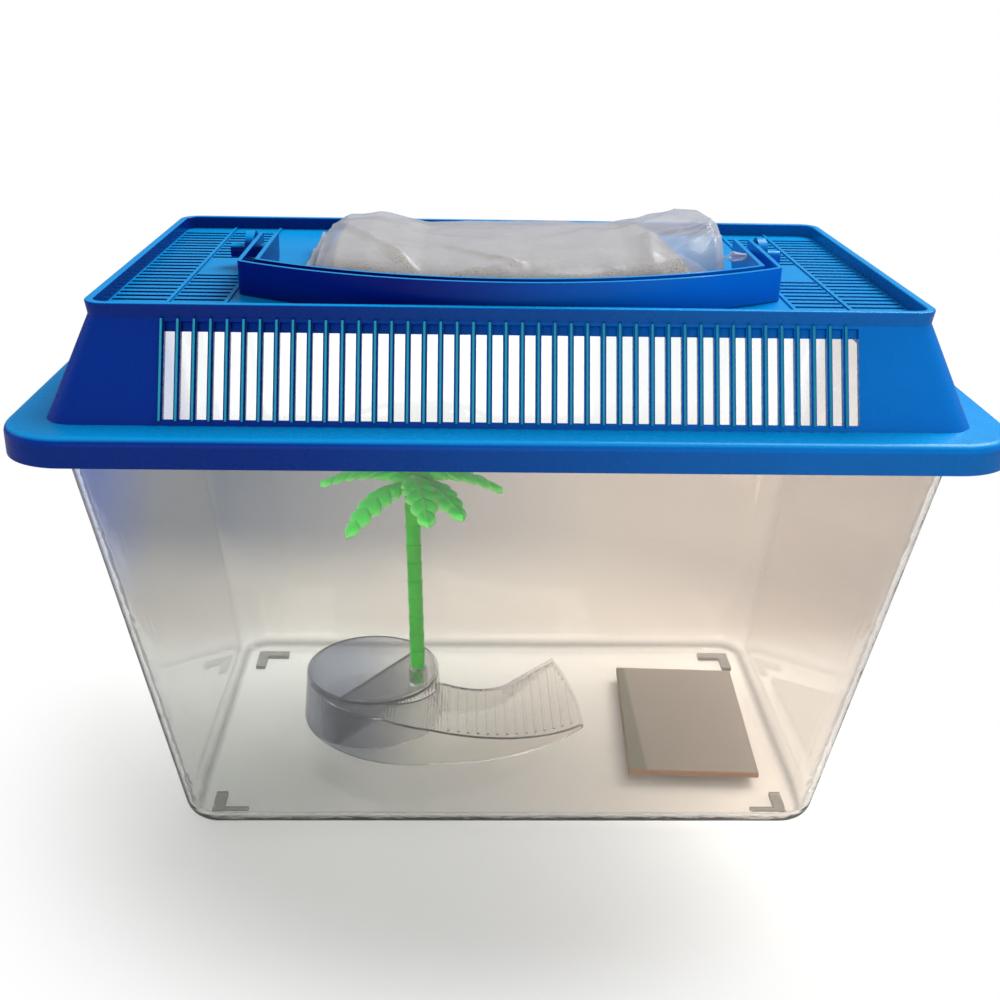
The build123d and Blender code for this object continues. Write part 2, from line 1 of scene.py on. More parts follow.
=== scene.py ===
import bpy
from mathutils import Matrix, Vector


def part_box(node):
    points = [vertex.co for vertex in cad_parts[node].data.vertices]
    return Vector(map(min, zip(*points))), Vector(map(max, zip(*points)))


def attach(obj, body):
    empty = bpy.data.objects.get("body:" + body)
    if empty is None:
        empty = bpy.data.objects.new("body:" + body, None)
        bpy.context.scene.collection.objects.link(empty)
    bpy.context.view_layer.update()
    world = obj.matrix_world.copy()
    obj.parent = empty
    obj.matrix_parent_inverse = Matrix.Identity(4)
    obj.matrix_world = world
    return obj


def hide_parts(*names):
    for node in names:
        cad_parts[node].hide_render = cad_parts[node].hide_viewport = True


bl_info = {
    "name": "Portable pet tank",
    "version": (1, 0, 0),
    "blender": (4, 5, 0),
    "location": "View3D > Sidebar > Pet tank",
    "description": "Dresses the packed model of a clear pet tank, its lid, island, palm, tile and bag",
    "category": "Add Mesh",
}

from math import atan2, cos, exp, hypot, pi, radians, sin

import bmesh
import bpy
from bpy.props import FloatProperty, FloatVectorProperty, IntProperty, PointerProperty
from mathutils import Matrix, Vector, noise

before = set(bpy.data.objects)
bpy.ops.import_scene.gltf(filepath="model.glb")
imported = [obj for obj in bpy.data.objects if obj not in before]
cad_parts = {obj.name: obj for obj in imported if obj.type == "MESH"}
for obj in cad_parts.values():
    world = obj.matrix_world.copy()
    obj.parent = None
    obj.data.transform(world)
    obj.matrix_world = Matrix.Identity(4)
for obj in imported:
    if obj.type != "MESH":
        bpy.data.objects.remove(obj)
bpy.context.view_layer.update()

MM = 0.001
WHITE = (1.0, 1.0, 1.0, 1.0)


def linear(code):
    """Linear colour, with full alpha, of an sRGB hex code."""
    values = [int(code[i:i + 2], 16) / 255 for i in (1, 3, 5)]
    curve = [v / 12.92 if v <= 0.04045 else ((v + 0.055) / 1.055) ** 2.4 for v in values]
    return (*curve, 1.0)


def blend(start, end, share):
    """Value part of the way from start to end."""
    return start + (end - start) * share


def smooth(low, high, value):
    """0 below low, 1 above high and an even curve between."""
    share = min(max((value - low) / (high - low), 0.0), 1.0)
    return share * share * (3 - 2 * share)


def colour_property(name, description, code):
    """Colour setting whose default is an sRGB hex code."""
    return FloatVectorProperty(
        name=name, description=description, subtype="COLOR", size=4, min=0, max=1, default=linear(code)
    )


def length_property(name, description, default):
    """Length setting in metres."""
    return FloatProperty(name=name, description=description, default=default, unit="LENGTH", precision=5)


# Settings that a user would change


class LidSettings(bpy.types.PropertyGroup):
    """Sizes and colours of the lid and its handle"""

    # painted shade: the lid's blue is drawn darker towards the left end, away from the light
    left: colour_property("Lid blue, left", "Blue of the lid's walls at the left end", "#022C88")
    right: colour_property("Lid blue, right", "Blue of the lid's walls at the right end", "#0370C8")
    # painted light: the lighter blue of the faces turned up
    upper: colour_property("Lid blue, upper", "Lighter blue of the faces that are turned up", "#0492DC")
    # painted shade: the handle's blue is drawn darker towards the left end
    handle_left: colour_property(
        "Handle blue, left", "Blue of the handle's walls at the left end", "#01156C"
    )
    handle_right: colour_property(
        "Handle blue, right", "Blue of the handle's walls at the right end", "#046CD0"
    )
    # painted highlight: the thin ribs are drawn a pale blue, as their lit crests look
    rib_highlight_left: colour_property("Rib blue, left", "Blue of the thin ribs at the left end", "#2C9AAC")
    rib_highlight_right: colour_property("Rib blue, right", "Blue of the thin ribs at the right end", "#2A8498")
    rib_count: IntProperty(name="Ribs", description="Ribs along one wall of the lid", default=43)
    rib_pitch: length_property("Rib pitch", "Distance from rib to rib", 4.8 * MM)
    rib_radius: length_property("Rib radius", "Radius of a rib's rounded crest", 0.42 * MM)


class TubSettings(bpy.types.PropertyGroup):
    """Tints of the clear tub and the island"""

    # painted shade: the tint is greyer at the left end and warmer at the right end, as the light falls
    left: colour_property("Tub tint, left", "Tint of one wall's thickness at the left end", "#E7E8E6")
    right: colour_property("Tub tint, right", "Tint of one wall's thickness at the right end", "#F2ECE6")
    # the edge tint also draws the painted shade along the tub's feet and bottom bends
    edge: colour_property("Tub edge tint", "Tint where the wall is seen edge on", "#6E6C67")
    # painted shade: the corner tint darkens the front corners
    corner: colour_property("Tub corner tint", "Tint of the front corners, seen along the wall", "#484744")
    # painted reflection: the lid's blue, painted into the left wall's upper part
    glow: colour_property(
        "Tub blue", "Tint of the left wall's upper part, which shows the lid's blue", "#C6D4FF"
    )
    island_left: colour_property(
        "Island tint, left", "Tint of the island's smoky plastic by the basin", "#ABB1C0"
    )
    island_right: colour_property("Island tint, right", "Tint of the thinner plastic of the ramp", "#F4F2EF")
    island_edge: colour_property("Island edge tint", "Tint where the island is seen edge on", "#484A57")


class PalmSettings(bpy.types.PropertyGroup):
    """Sizes and colours of the palm"""

    leaf: colour_property("Leaf green", "Green of the leaves", "#48FA58")
    rim: colour_property("Leaf rim green", "Paler green along a leaf's rim and midrib", "#8FE27C")
    trunk: colour_property("Trunk green", "Green of the trunk", "#20B606")
    trunk_shade: colour_property("Trunk green, deep", "Deeper green in the trunk's rings", "#1A960E")
    leaf_length: length_property("Leaf length", "From the hub's axis to a leaf's tip", 35 * MM)
    lobes: IntProperty(name="Lobes", description="Lobes along each side of a leaf", default=6)


class BagSettings(bpy.types.PropertyGroup):
    """Colours of the bag, its fill and the floor tile"""

    film: colour_property("Film", "Milky tone of the film where it is seen edge on", "#C0C3CE")
    fill: colour_property("Fill", "Pale tone of the loose grains", "#B3AC9D")
    fill_shade: colour_property("Fill, deep", "Darker grains among the pale ones", "#9A9487")
    grains: IntProperty(name="Grains", description="Grains that stand out of the fill's top", default=5000)
    tile: colour_property("Tile", "Face of the floor tile", "#92877B")
    # painted shade: the darker band along the tile's left side
    tile_shade_band: colour_property("Tile band", "Darker band along the tile's left side", "#736E5E")
    tile_rim: colour_property("Tile rim", "Brown edge of the tile", "#8A6547")


class StageSettings(bpy.types.PropertyGroup):
    """Floor, lamps and camera"""

    floor: colour_property("Floor", "Paper under the tank", "#FAFAF8")
    gloss: colour_property("Floor in gloss", "Paper as glossy faces mirror it", "#909090")
    near: colour_property(
        "Shade, near", "Tone of the paper beside the tank, seen through both walls", "#DCD6D1"
    )
    cool: colour_property("Shade, left", "Cool tone of the paper behind the tank's left part", "#838999")
    warm: colour_property("Shade, right", "Warm tone of the paper behind the tank's right part", "#E6DFD8")
    lens: FloatProperty(name="Lens", description="Focal length in millimetres", default=45.0)


# Node helpers


def add(tree, kind, inputs=None, **settings):
    """Adds a node, sets its properties, and fills its inputs with values or with other nodes' outputs."""
    node = tree.nodes.new(kind)
    for name, value in settings.items():
        setattr(node, name, value)
    for key, value in (inputs or {}).items():
        if isinstance(value, bpy.types.NodeSocket):
            tree.links.new(value, node.inputs[key])
        else:
            node.inputs[key].default_value = value
    return node


def new_material(name):
    """An empty node material and its tree."""
    material = bpy.data.materials.new(name)
    material.use_nodes = True
    material.node_tree.nodes.clear()
    return material, material.node_tree


def close(tree, surface):
    """Links a shader to the material's output."""
    add(tree, "ShaderNodeOutputMaterial", {"Surface": surface})


def object_position(tree):
    """Position on the piece in metres, in the shared frame."""
    return add(tree, "ShaderNodeTexCoord").outputs["Object"]


def paint(node_name, material):
    """Puts a material on a CAD node."""
    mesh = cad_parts[node_name].data
    mesh.materials.clear()
    mesh.materials.append(material)


def placed(name, mesh, body):
    """A piece from a finished mesh, riding on a body."""
    piece = bpy.data.objects.new(name, mesh)
    bpy.context.scene.collection.objects.link(piece)
    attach(piece, body)
    return piece


def finished(name, bm, body, material):
    """Makes a closed smooth piece from bmesh data, in place, riding on a body."""
    bmesh.ops.remove_doubles(bm, verts=bm.verts, dist=1e-6)
    bmesh.ops.recalc_face_normals(bm, faces=bm.faces)
    mesh = bpy.data.meshes.new(name)
    bm.to_mesh(mesh)
    bm.free()
    for face in mesh.polygons:
        face.use_smooth = True
    mesh.materials.append(material)
    return placed(name, mesh, body)


def close_rings(bm, rings):
    """Joins rings of vertices, each to the next, and caps both ends."""
    count = len(rings[0])
    for a, b in zip(rings, rings[1:]):
        for k in range(count):
            after = (k + 1) % count
            bm.faces.new([a[k], b[k], b[after], a[after]])
    bm.faces.new(list(reversed(rings[0])))
    bm.faces.new(rings[-1])


# Materials


def end_to_end(tree, across, span, left, right):
    """Colour that changes smoothly from the left end of a span to its right end."""
    share = add(
        tree,
        "ShaderNodeMapRange",
        {"Value": across, "From Min": span[0], "From Max": span[1]},
        interpolation_type="SMOOTHSTEP",
    )
    return add(
        tree, "ShaderNodeMix", {"Factor": share.outputs["Result"], "A": left, "B": right}, data_type="RGBA"
    ).outputs["Result"]


def fine_relief(tree, place, size, strength, depth):
    """Surface normal of a soft uneven relief, with its size and depth in metres."""
    relief = add(tree, "ShaderNodeTexNoise", {"Vector": place, "Scale": 1 / size, "Detail": 2.0})
    return add(
        tree, "ShaderNodeBump", {"Height": relief.outputs["Fac"], "Strength": strength, "Distance": depth}
    ).outputs["Normal"]


def moulded_polypropylene(name, left, right, upper, span, roughness=0.26, upright=1.0):
    """Moulded polypropylene: satin gloss, a fine sparked texture, and a blue with painted shade towards the
    left end, painted light on faces turned up and, where asked, painted shade on upright faces.
    """
    material, tree = new_material(name)
    place = object_position(tree)
    split = add(tree, "ShaderNodeSeparateXYZ", {"Vector": place})
    # painted shade: the walls' blue darkens from the right end to the left end
    walls = end_to_end(tree, split.outputs["X"], span, left, right)
    # flow marks are about 40 mm apart
    flow = add(tree, "ShaderNodeTexNoise", {"Vector": place, "Scale": 1 / 0.040, "Detail": 3.0})
    scuff = add(
        tree, "ShaderNodeTexNoise", {"Vector": place, "Scale": 1 / 0.006, "Detail": 6.0, "Roughness": 0.7}
    )
    # painted light: faces turned up are drawn a lighter azure than the walls, as if lit from above
    normal = add(
        tree, "ShaderNodeSeparateXYZ", {"Vector": add(tree, "ShaderNodeNewGeometry").outputs["Normal"]}
    )
    painted_top_light = add(
        tree,
        "ShaderNodeMapRange",
        {"Value": normal.outputs["Z"], "From Min": 0.5, "From Max": 0.9},
        interpolation_type="SMOOTHSTEP",
    )
    tone = add(
        tree,
        "ShaderNodeMix",
        {"Factor": painted_top_light.outputs["Result"], "A": walls, "B": upper},
        data_type="RGBA",
    )
    # painted shade: upright faces, such as the skirt, are drawn a shade deeper than the sloping walls
    slope = add(
        tree,
        "ShaderNodeMapRange",
        {"Value": normal.outputs["Z"], "From Min": 0.05, "From Max": 0.3, "To Min": upright},
    )
    mottle = add(tree, "ShaderNodeMapRange", {"Value": flow.outputs["Fac"], "To Min": 0.9, "To Max": 1.1})
    depth = add(
        tree,
        "ShaderNodeMath",
        {0: mottle.outputs["Result"], 1: slope.outputs["Result"]},
        operation="MULTIPLY",
    )
    mixed = add(
        tree,
        "ShaderNodeVectorMath",
        {0: tone.outputs["Result"], "Scale": depth.outputs["Value"]},
        operation="SCALE",
    )
    gloss = add(
        tree,
        "ShaderNodeMapRange",
        {"Value": scuff.outputs["Fac"], "To Min": roughness - 0.08, "To Max": roughness + 0.1},
    )
    # the sparked texture is drawn at 0.7 mm, coarse enough to show
    skin = add(
        tree,
        "ShaderNodeBsdfPrincipled",
        {
            "Base Color": mixed.outputs["Vector"],
            "Roughness": gloss.outputs["Result"],
            "IOR": 1.49,
            "Specular IOR Level": 0.15,
            "Normal": fine_relief(tree, place, 0.0007, 0.1, 0.0001),
        },
    )
    close(tree, skin.outputs["BSDF"])
    return material


# Where the tub's tint, its painted shade and its painted reflection change, as start and end in metres
FOOT_HEIGHT = (1.5 * MM, 1.1 * MM)
BEND_HEIGHT = (6.0 * MM, 2.5 * MM)
CORNER_DEPTH = (-30 * MM, -50 * MM)
CORNER_PALE = (0.0, 50 * MM)
PAINTED_REFLECTION_SIDE = (-108 * MM, -122 * MM)
PAINTED_REFLECTION_HEIGHT = (90 * MM, 150 * MM)
THIN_HEIGHT = (95 * MM, 115 * MM)
THIN_DEPTH = (50 * MM, 70 * MM)
# How far a face has turned to an axis where the tint starts and ends
BEND_TURN = (0.98, 0.8)
CORNER_SIDE_TURN = (0.78, 0.88)
CORNER_FRONT_TURN = (0.08, 0.16)
CORNER_RIGHT_SHARE = 0.35
THIN_TINT = (0.97, 1.0, 1.0, 1.0)


def overlap(tree, reaches):
    """Share that is 1 where every value is past its reach's end, and 0 where one is before its start."""
    share = None
    for value, (start, end) in reaches:
        part = add(
            tree, "ShaderNodeMapRange", {"Value": value, "From Min": start, "From Max": end}
        ).outputs["Result"]
        if share is not None:
            part = add(tree, "ShaderNodeMath", {0: share, 1: part}, operation="MULTIPLY").outputs["Value"]
        share = part
    return share


def face_turn(tree, axis):
    """How far a face is turned to an axis: 1 where it looks along the axis, either way."""
    normal = add(tree, "ShaderNodeNewGeometry").outputs["Normal"]
    split = add(tree, "ShaderNodeSeparateXYZ", {"Vector": normal})
    return add(tree, "ShaderNodeMath", {0: split.outputs[axis]}, operation="ABSOLUTE").outputs["Value"]


def tub_tint(tree, place, tint, edge, glow, corner):
    """Tint of the tub's own places, with painted shade and a painted reflection of the lid, laid over the
    tint that its walls have from end to end.
    """
    across, depth, height = (place.outputs[axis] for axis in "XYZ")
    # painted shade: the feet and the bends under the walls are thick, and are drawn darker with the edge
    # tint as the shade along the tub's bottom
    feet = overlap(tree, ((height, FOOT_HEIGHT),))
    bend = overlap(tree, ((height, BEND_HEIGHT), (face_turn(tree, "Z"), BEND_TURN)))
    smoky = add(tree, "ShaderNodeMath", {0: feet, 1: bend}, operation="MAXIMUM").outputs["Value"]
    # painted shade: the front corners, where the eye looks along the wall, are drawn darker, more so at the
    # left one
    turned = overlap(
        tree,
        (
            (depth, CORNER_DEPTH),
            (face_turn(tree, "X"), CORNER_SIDE_TURN),
            (face_turn(tree, "Y"), CORNER_FRONT_TURN),
        ),
    )
    pale = add(
        tree,
        "ShaderNodeMapRange",
        {
            "Value": across,
            "From Min": CORNER_PALE[0],
            "From Max": CORNER_PALE[1],
            "To Min": 1.0,
            "To Max": CORNER_RIGHT_SHARE,
        },
    ).outputs["Result"]
    painted_corner_shade = add(tree, "ShaderNodeMath", {0: turned, 1: pale}, operation="MULTIPLY").outputs["Value"]
    # painted reflection: the lid's blue is painted faintly into the upper part of the left wall
    blue = overlap(tree, ((across, PAINTED_REFLECTION_SIDE), (height, PAINTED_REFLECTION_HEIGHT)))
    # the rear wall thins towards its rim, so its tint fades there
    thin = overlap(tree, ((height, THIN_HEIGHT), (depth, THIN_DEPTH)))
    for share, colour in ((blue, glow), (smoky, edge), (thin, THIN_TINT), (painted_corner_shade, corner)):
        tint = add(
            tree, "ShaderNodeMix", {"Factor": share, "A": tint, "B": colour}, data_type="RGBA"
        ).outputs["Result"]
    return tint


def clear_polystyrene(name, left, right, edge, span, waviness, glow=None, corner=None, ripple=None):
    """Clear moulded polystyrene: glassy, with a slight tint, soft waves in its faces and darker edges."""
    material, tree = new_material(name)
    place = object_position(tree)
    split = add(tree, "ShaderNodeSeparateXYZ", {"Vector": place})
    tint = end_to_end(tree, split.outputs["X"], span, left, right)
    if glow:
        tint = tub_tint(tree, split, tint, edge, glow, corner)
    # edge on, the eye looks through far more plastic, so the tint deepens
    facing = add(tree, "ShaderNodeLayerWeight", {"Blend": 0.35})
    deep = add(tree, "ShaderNodeMath", {0: facing.outputs["Facing"], 1: 3.0}, operation="POWER")
    body = add(
        tree,
        "ShaderNodeMix",
        {"Factor": deep.outputs["Value"], "A": tint, "B": edge},
        data_type="RGBA",
    )
    # moulding waves are about 30 mm long
    normal = fine_relief(tree, place, 0.030, waviness, 0.001)
    haze = add(
        tree, "ShaderNodeTexNoise", {"Vector": place, "Scale": 1 / 0.004, "Detail": 5.0, "Roughness": 0.7}
    )
    gloss = add(tree, "ShaderNodeMapRange", {"Value": haze.outputs["Fac"], "To Min": 0.0, "To Max": 0.04})
    if ripple:
        # fine grip lines, a little over a millimetre apart
        lines = add(tree, "ShaderNodeTexWave", {"Vector": place, "Scale": ripple, "Distortion": 2.0})
        normal = add(
            tree,
            "ShaderNodeBump",
            {"Height": lines.outputs["Fac"], "Strength": 0.25, "Distance": 0.0002, "Normal": normal},
        ).outputs["Normal"]
    skin = add(
        tree,
        "ShaderNodeBsdfPrincipled",
        {
            "Base Color": body.outputs["Result"],
            "Roughness": gloss.outputs["Result"],
            "IOR": 1.59,
            "Specular Tint": (0.35, 0.35, 0.35, 1.0),
            "Transmission Weight": 0.97,
            "Normal": normal,
        },
    )
    # lamps shine through the thin walls, which a plain glass shader would leave in the dark
    lamp = add(tree, "ShaderNodeLightPath")
    through = add(tree, "ShaderNodeBsdfTransparent", {"Color": (0.96, 0.96, 0.96, 1.0)})
    both = add(
        tree,
        "ShaderNodeMixShader",
        {0: lamp.outputs["Is Shadow Ray"], 1: skin.outputs["BSDF"], 2: through.outputs["BSDF"]},
    )
    close(tree, both.outputs["Shader"])
    return material


def waxy_skin(tree, place, patch, tone, sheen, grit):
    """Skin of soft moulded polyethylene: waxy half gloss, duller in patches, over a fine grit."""
    gloss = add(tree, "ShaderNodeMapRange", {"Value": patch, "To Min": sheen, "To Max": 0.5})
    skin = add(
        tree,
        "ShaderNodeBsdfPrincipled",
        {
            "Base Color": tone,
            "Roughness": gloss.outputs["Result"],
            "IOR": 1.51,
            "Specular IOR Level": 0.25,
            "Normal": fine_relief(tree, place, grit, 0.15, 0.0001),
        },
    )
    close(tree, skin.outputs["BSDF"])


def trunk_polyethylene(name, colour, shade):
    """Soft moulded polyethylene of the trunk: waxy, and deeper green in patches about 6 mm across."""
    material, tree = new_material(name)
    place = object_position(tree)
    patch = add(tree, "ShaderNodeTexNoise", {"Vector": place, "Scale": 1 / 0.006, "Detail": 3.0})
    tone = add(
        tree, "ShaderNodeMix", {"Factor": patch.outputs["Fac"], "A": shade, "B": colour}, data_type="RGBA"
    )
    waxy_skin(tree, place, patch.outputs["Fac"], tone.outputs["Result"], 0.32, 0.0006)
    return material


def leaf_polyethylene(name, colour, rim):
    """The same soft plastic on the leaves, paler along the thin rims and the midrib."""
    material, tree = new_material(name)
    place = object_position(tree)
    edge = add(tree, "ShaderNodeAttribute", attribute_name="rim")
    patch = add(tree, "ShaderNodeTexNoise", {"Vector": place, "Scale": 1 / 0.005, "Detail": 3.0})
    uneven = add(tree, "ShaderNodeMapRange", {"Value": patch.outputs["Fac"], "To Min": 0.75, "To Max": 1.1})
    pale = add(
        tree, "ShaderNodeMath", {0: edge.outputs["Fac"], 1: uneven.outputs["Result"]}, operation="MULTIPLY"
    )
    tone = add(
        tree, "ShaderNodeMix", {"Factor": pale.outputs["Value"], "A": colour, "B": rim}, data_type="RGBA"
    )
    waxy_skin(tree, place, patch.outputs["Fac"], tone.outputs["Result"], 0.35, 0.0008)
    return material


# Width of the slate's band of painted shade and its soft edge, and depth of its brown rim and its soft edge
SLATE_SHADE_WIDTH = 6.0 * MM
SLATE_BAND_EDGE = 1.5 * MM
SLATE_RIM = 0.6 * MM
SLATE_RIM_EDGE = 0.5 * MM


def honed_slate(name, colour, band, rim, low, high):
    """Honed stone slip: matte, faintly grained, with a painted shade along one side and brown at its cut
    edges.
    """
    material, tree = new_material(name)
    place = object_position(tree)
    split = add(tree, "ShaderNodeSeparateXYZ", {"Vector": place})
    # painted shade: a darker band along the left side, drawn on the top face
    band_end = low[0] + SLATE_SHADE_WIDTH
    side = add(
        tree,
        "ShaderNodeMapRange",
        {"Value": split.outputs["X"], "From Min": band_end, "From Max": band_end + SLATE_BAND_EDGE},
    )
    grain = add(
        tree, "ShaderNodeTexNoise", {"Vector": place, "Scale": 1 / 0.002, "Detail": 8.0, "Roughness": 0.65}
    )
    cloud = add(tree, "ShaderNodeTexNoise", {"Vector": place, "Scale": 1 / 0.030, "Detail": 3.0})
    face = add(
        tree, "ShaderNodeMix", {"Factor": side.outputs["Result"], "A": band, "B": colour}, data_type="RGBA"
    )
    mottle = add(
        tree, "ShaderNodeMapRange", {"Value": grain.outputs["Fac"], "To Min": 0.86, "To Max": 1.12}
    )
    cloudy = add(
        tree, "ShaderNodeMapRange", {"Value": cloud.outputs["Fac"], "To Min": 0.92, "To Max": 1.08}
    )
    both = add(
        tree,
        "ShaderNodeMath",
        {0: mottle.outputs["Result"], 1: cloudy.outputs["Result"]},
        operation="MULTIPLY",
    )
    toned = add(
        tree,
        "ShaderNodeVectorMath",
        {0: face.outputs["Result"], "Scale": both.outputs["Value"]},
        operation="SCALE",
    )
    rim_end = high[2] - SLATE_RIM
    up = add(
        tree,
        "ShaderNodeMapRange",
        {"Value": split.outputs["Z"], "From Min": rim_end, "From Max": rim_end + SLATE_RIM_EDGE},
    )
    skin_colour = add(
        tree,
        "ShaderNodeMix",
        {"Factor": up.outputs["Result"], "A": rim, "B": toned.outputs["Vector"]},
        data_type="RGBA",
    )
    bump = add(tree, "ShaderNodeBump", {"Height": grain.outputs["Fac"], "Strength": 0.3, "Distance": 0.0002})
    gloss = add(tree, "ShaderNodeMapRange", {"Value": grain.outputs["Fac"], "To Min": 0.5, "To Max": 0.75})
    skin = add(
        tree,
        "ShaderNodeBsdfPrincipled",
        {
            "Base Color": skin_colour.outputs["Result"],
            "Roughness": gloss.outputs["Result"],
            "Normal": bump.outputs["Normal"],
        },
    )
    close(tree, skin.outputs["BSDF"])
    return material


def polythene_film(name, colour):
    """Thin polythene film: see-through face on, milky and shiny where it turns away or creases."""
    material, tree = new_material(name)
    place = object_position(tree)
    # creases are about 14 mm apart and meet at points, as in crumpled film
    crumple = add(
        tree, "ShaderNodeTexVoronoi", {"Vector": place, "Scale": 1 / 0.014}, feature="DISTANCE_TO_EDGE"
    )
    soft = add(tree, "ShaderNodeTexNoise", {"Vector": place, "Scale": 1 / 0.010, "Detail": 3.0})
    height = add(
        tree, "ShaderNodeMath", {0: crumple.outputs["Distance"], 1: soft.outputs["Fac"]}, operation="ADD"
    )
    bump = add(
        tree, "ShaderNodeBump", {"Height": height.outputs["Value"], "Strength": 0.35, "Distance": 0.001}
    )
    facing = add(tree, "ShaderNodeLayerWeight", {"Blend": 0.4, "Normal": bump.outputs["Normal"]})
    cover = add(
        tree, "ShaderNodeMapRange", {"Value": facing.outputs["Facing"], "To Min": 0.2, "To Max": 0.85}
    )
    gloss = add(tree, "ShaderNodeMapRange", {"Value": soft.outputs["Fac"], "To Min": 0.12, "To Max": 0.3})
    clear = add(tree, "ShaderNodeBsdfTransparent", {"Color": (0.98, 0.98, 0.98, 1.0)})
    skin = add(
        tree,
        "ShaderNodeBsdfPrincipled",
        {
            "Base Color": colour,
            "Roughness": gloss.outputs["Result"],
            "IOR": 1.51,
            "Specular IOR Level": 0.3,
            "Normal": bump.outputs["Normal"],
        },
    )
    both = add(
        tree,
        "ShaderNodeMixShader",
        {0: cover.outputs["Result"], 1: clear.outputs["BSDF"], 2: skin.outputs["BSDF"]},
    )
    close(tree, both.outputs["Shader"])
    return material


def washed_sand(name, colour, shade):
    """Washed pale sand: matte, with grains of slightly different tone."""
    material, tree = new_material(name)
    place = object_position(tree)
    # grains are about 1.2 mm across
    cells = add(tree, "ShaderNodeTexVoronoi", {"Vector": place, "Scale": 1 / 0.0012})
    cloud = add(tree, "ShaderNodeTexNoise", {"Vector": place, "Scale": 1 / 0.018, "Detail": 3.0})
    pick = add(tree, "ShaderNodeSeparateColor", {"Color": cells.outputs["Color"]})
    share = add(
        tree, "ShaderNodeMath", {0: pick.outputs["Red"], 1: cloud.outputs["Fac"]}, operation="MULTIPLY"
    )
    tone = add(
        tree, "ShaderNodeMix", {"Factor": share.outputs["Value"], "A": colour, "B": shade}, data_type="RGBA"
    )
    bump = add(
        tree, "ShaderNodeBump", {"Height": cells.outputs["Distance"], "Strength": 0.4, "Distance": 0.0004}
    )
    gloss = add(tree, "ShaderNodeMapRange", {"Value": pick.outputs["Green"], "To Min": 0.6, "To Max": 0.85})
    skin = add(
        tree,
        "ShaderNodeBsdfPrincipled",
        {
            "Base Color": tone.outputs["Result"],
            "Roughness": gloss.outputs["Result"],
            "Normal": bump.outputs["Normal"],
        },
    )
    close(tree, skin.outputs["BSDF"])
    return material


def seen_directly(tree):
    """1 for rays from the camera, straight or through clear plastic."""
    ray = add(tree, "ShaderNodeLightPath")
    return add(
        tree,
        "ShaderNodeMath",
        {0: ray.outputs["Is Camera Ray"], 1: ray.outputs["Is Transmission Ray"]},
        operation="MAXIMUM",
    ).outputs["Value"]


def mirrored(tree):
    """1 for rays that a glossy face has mirrored."""
    ray = add(tree, "ShaderNodeLightPath")
    return add(
        tree,
        "ShaderNodeMath",
        {0: ray.outputs["Is Glossy Ray"], 1: ray.outputs["Is Transmission Ray"]},
        operation="SUBTRACT",
        use_clamp=True,
    ).outputs["Value"]


# Reach of the paper's soft shade from the tank's middle, and its start and end across and behind
SHADE_REACH = (110 * MM, 210 * MM)
SHADE_ACROSS = (-160 * MM, 60 * MM)
SHADE_NEAR = (50 * MM, 100 * MM)
SHADE_BEHIND = (130 * MM, 210 * MM)


def backdrop_paper(name, settings):
    """Matte backdrop paper: plain white further out, and in soft shade where it is seen through the tank."""
    material, tree = new_material(name)
    place = object_position(tree)
    split = add(tree, "ShaderNodeSeparateXYZ", {"Vector": place})
    away = add(tree, "ShaderNodeVectorMath", {0: place}, operation="LENGTH")
    far = add(
        tree,
        "ShaderNodeMapRange",
        {"Value": away.outputs["Value"], "From Min": SHADE_REACH[0], "From Max": SHADE_REACH[1]},
        interpolation_type="SMOOTHSTEP",
    )
    white = add(
        tree, "ShaderNodeMath", {0: far.outputs["Result"], 1: seen_directly(tree)}, operation="MULTIPLY"
    )
    across = add(
        tree,
        "ShaderNodeMapRange",
        {"Value": split.outputs["X"], "From Min": SHADE_ACROSS[0], "From Max": SHADE_ACROSS[1]},
    )
    shade = add(
        tree,
        "ShaderNodeMix",
        {"Factor": across.outputs["Result"], "A": settings.cool, "B": settings.warm},
        data_type="RGBA",
    )
    room = WHITE
    for (start, end), colour in ((SHADE_NEAR, settings.near), (SHADE_BEHIND, shade.outputs["Result"])):
        behind = add(
            tree,
            "ShaderNodeMapRange",
            {"Value": split.outputs["Y"], "From Min": start, "From Max": end},
            interpolation_type="SMOOTHSTEP",
        )
        room = add(
            tree,
            "ShaderNodeMix",
            {"Factor": behind.outputs["Result"], "A": room, "B": colour},
            data_type="RGBA",
        ).outputs["Result"]
    # a ray has crossed two walls of the tub after four surfaces
    ray = add(tree, "ShaderNodeLightPath")
    crossed = add(
        tree, "ShaderNodeMath", {0: ray.outputs["Transmission Depth"], 1: 2.5}, operation="GREATER_THAN"
    )
    tone = add(
        tree,
        "ShaderNodeMix",
        {"Factor": crossed.outputs["Value"], "A": WHITE, "B": room},
        data_type="RGBA",
    )
    # glossy faces mirror a duller paper, so that the tub and the lid keep their colour
    matte = add(
        tree,
        "ShaderNodeMix",
        {"Factor": mirrored(tree), "A": settings.floor, "B": settings.gloss},
        data_type="RGBA",
    )
    toned = add(
        tree,
        "ShaderNodeVectorMath",
        {0: matte.outputs["Result"], 1: tone.outputs["Result"]},
        operation="MULTIPLY",
    )
    # paper fibres are drawn a millimetre long, coarse enough to show
    paper = add(
        tree,
        "ShaderNodeBsdfDiffuse",
        {"Color": toned.outputs["Vector"], "Normal": fine_relief(tree, place, 0.001, 0.05, 0.0001)},
    )
    glow = add(tree, "ShaderNodeEmission", {"Color": tone.outputs["Result"], "Strength": 1.0})
    both = add(
        tree,
        "ShaderNodeMixShader",
        {0: white.outputs["Value"], 1: paper.outputs["BSDF"], 2: glow.outputs["Emission"]},
    )
    close(tree, both.outputs["Shader"])
    return material


# Geometry node helpers


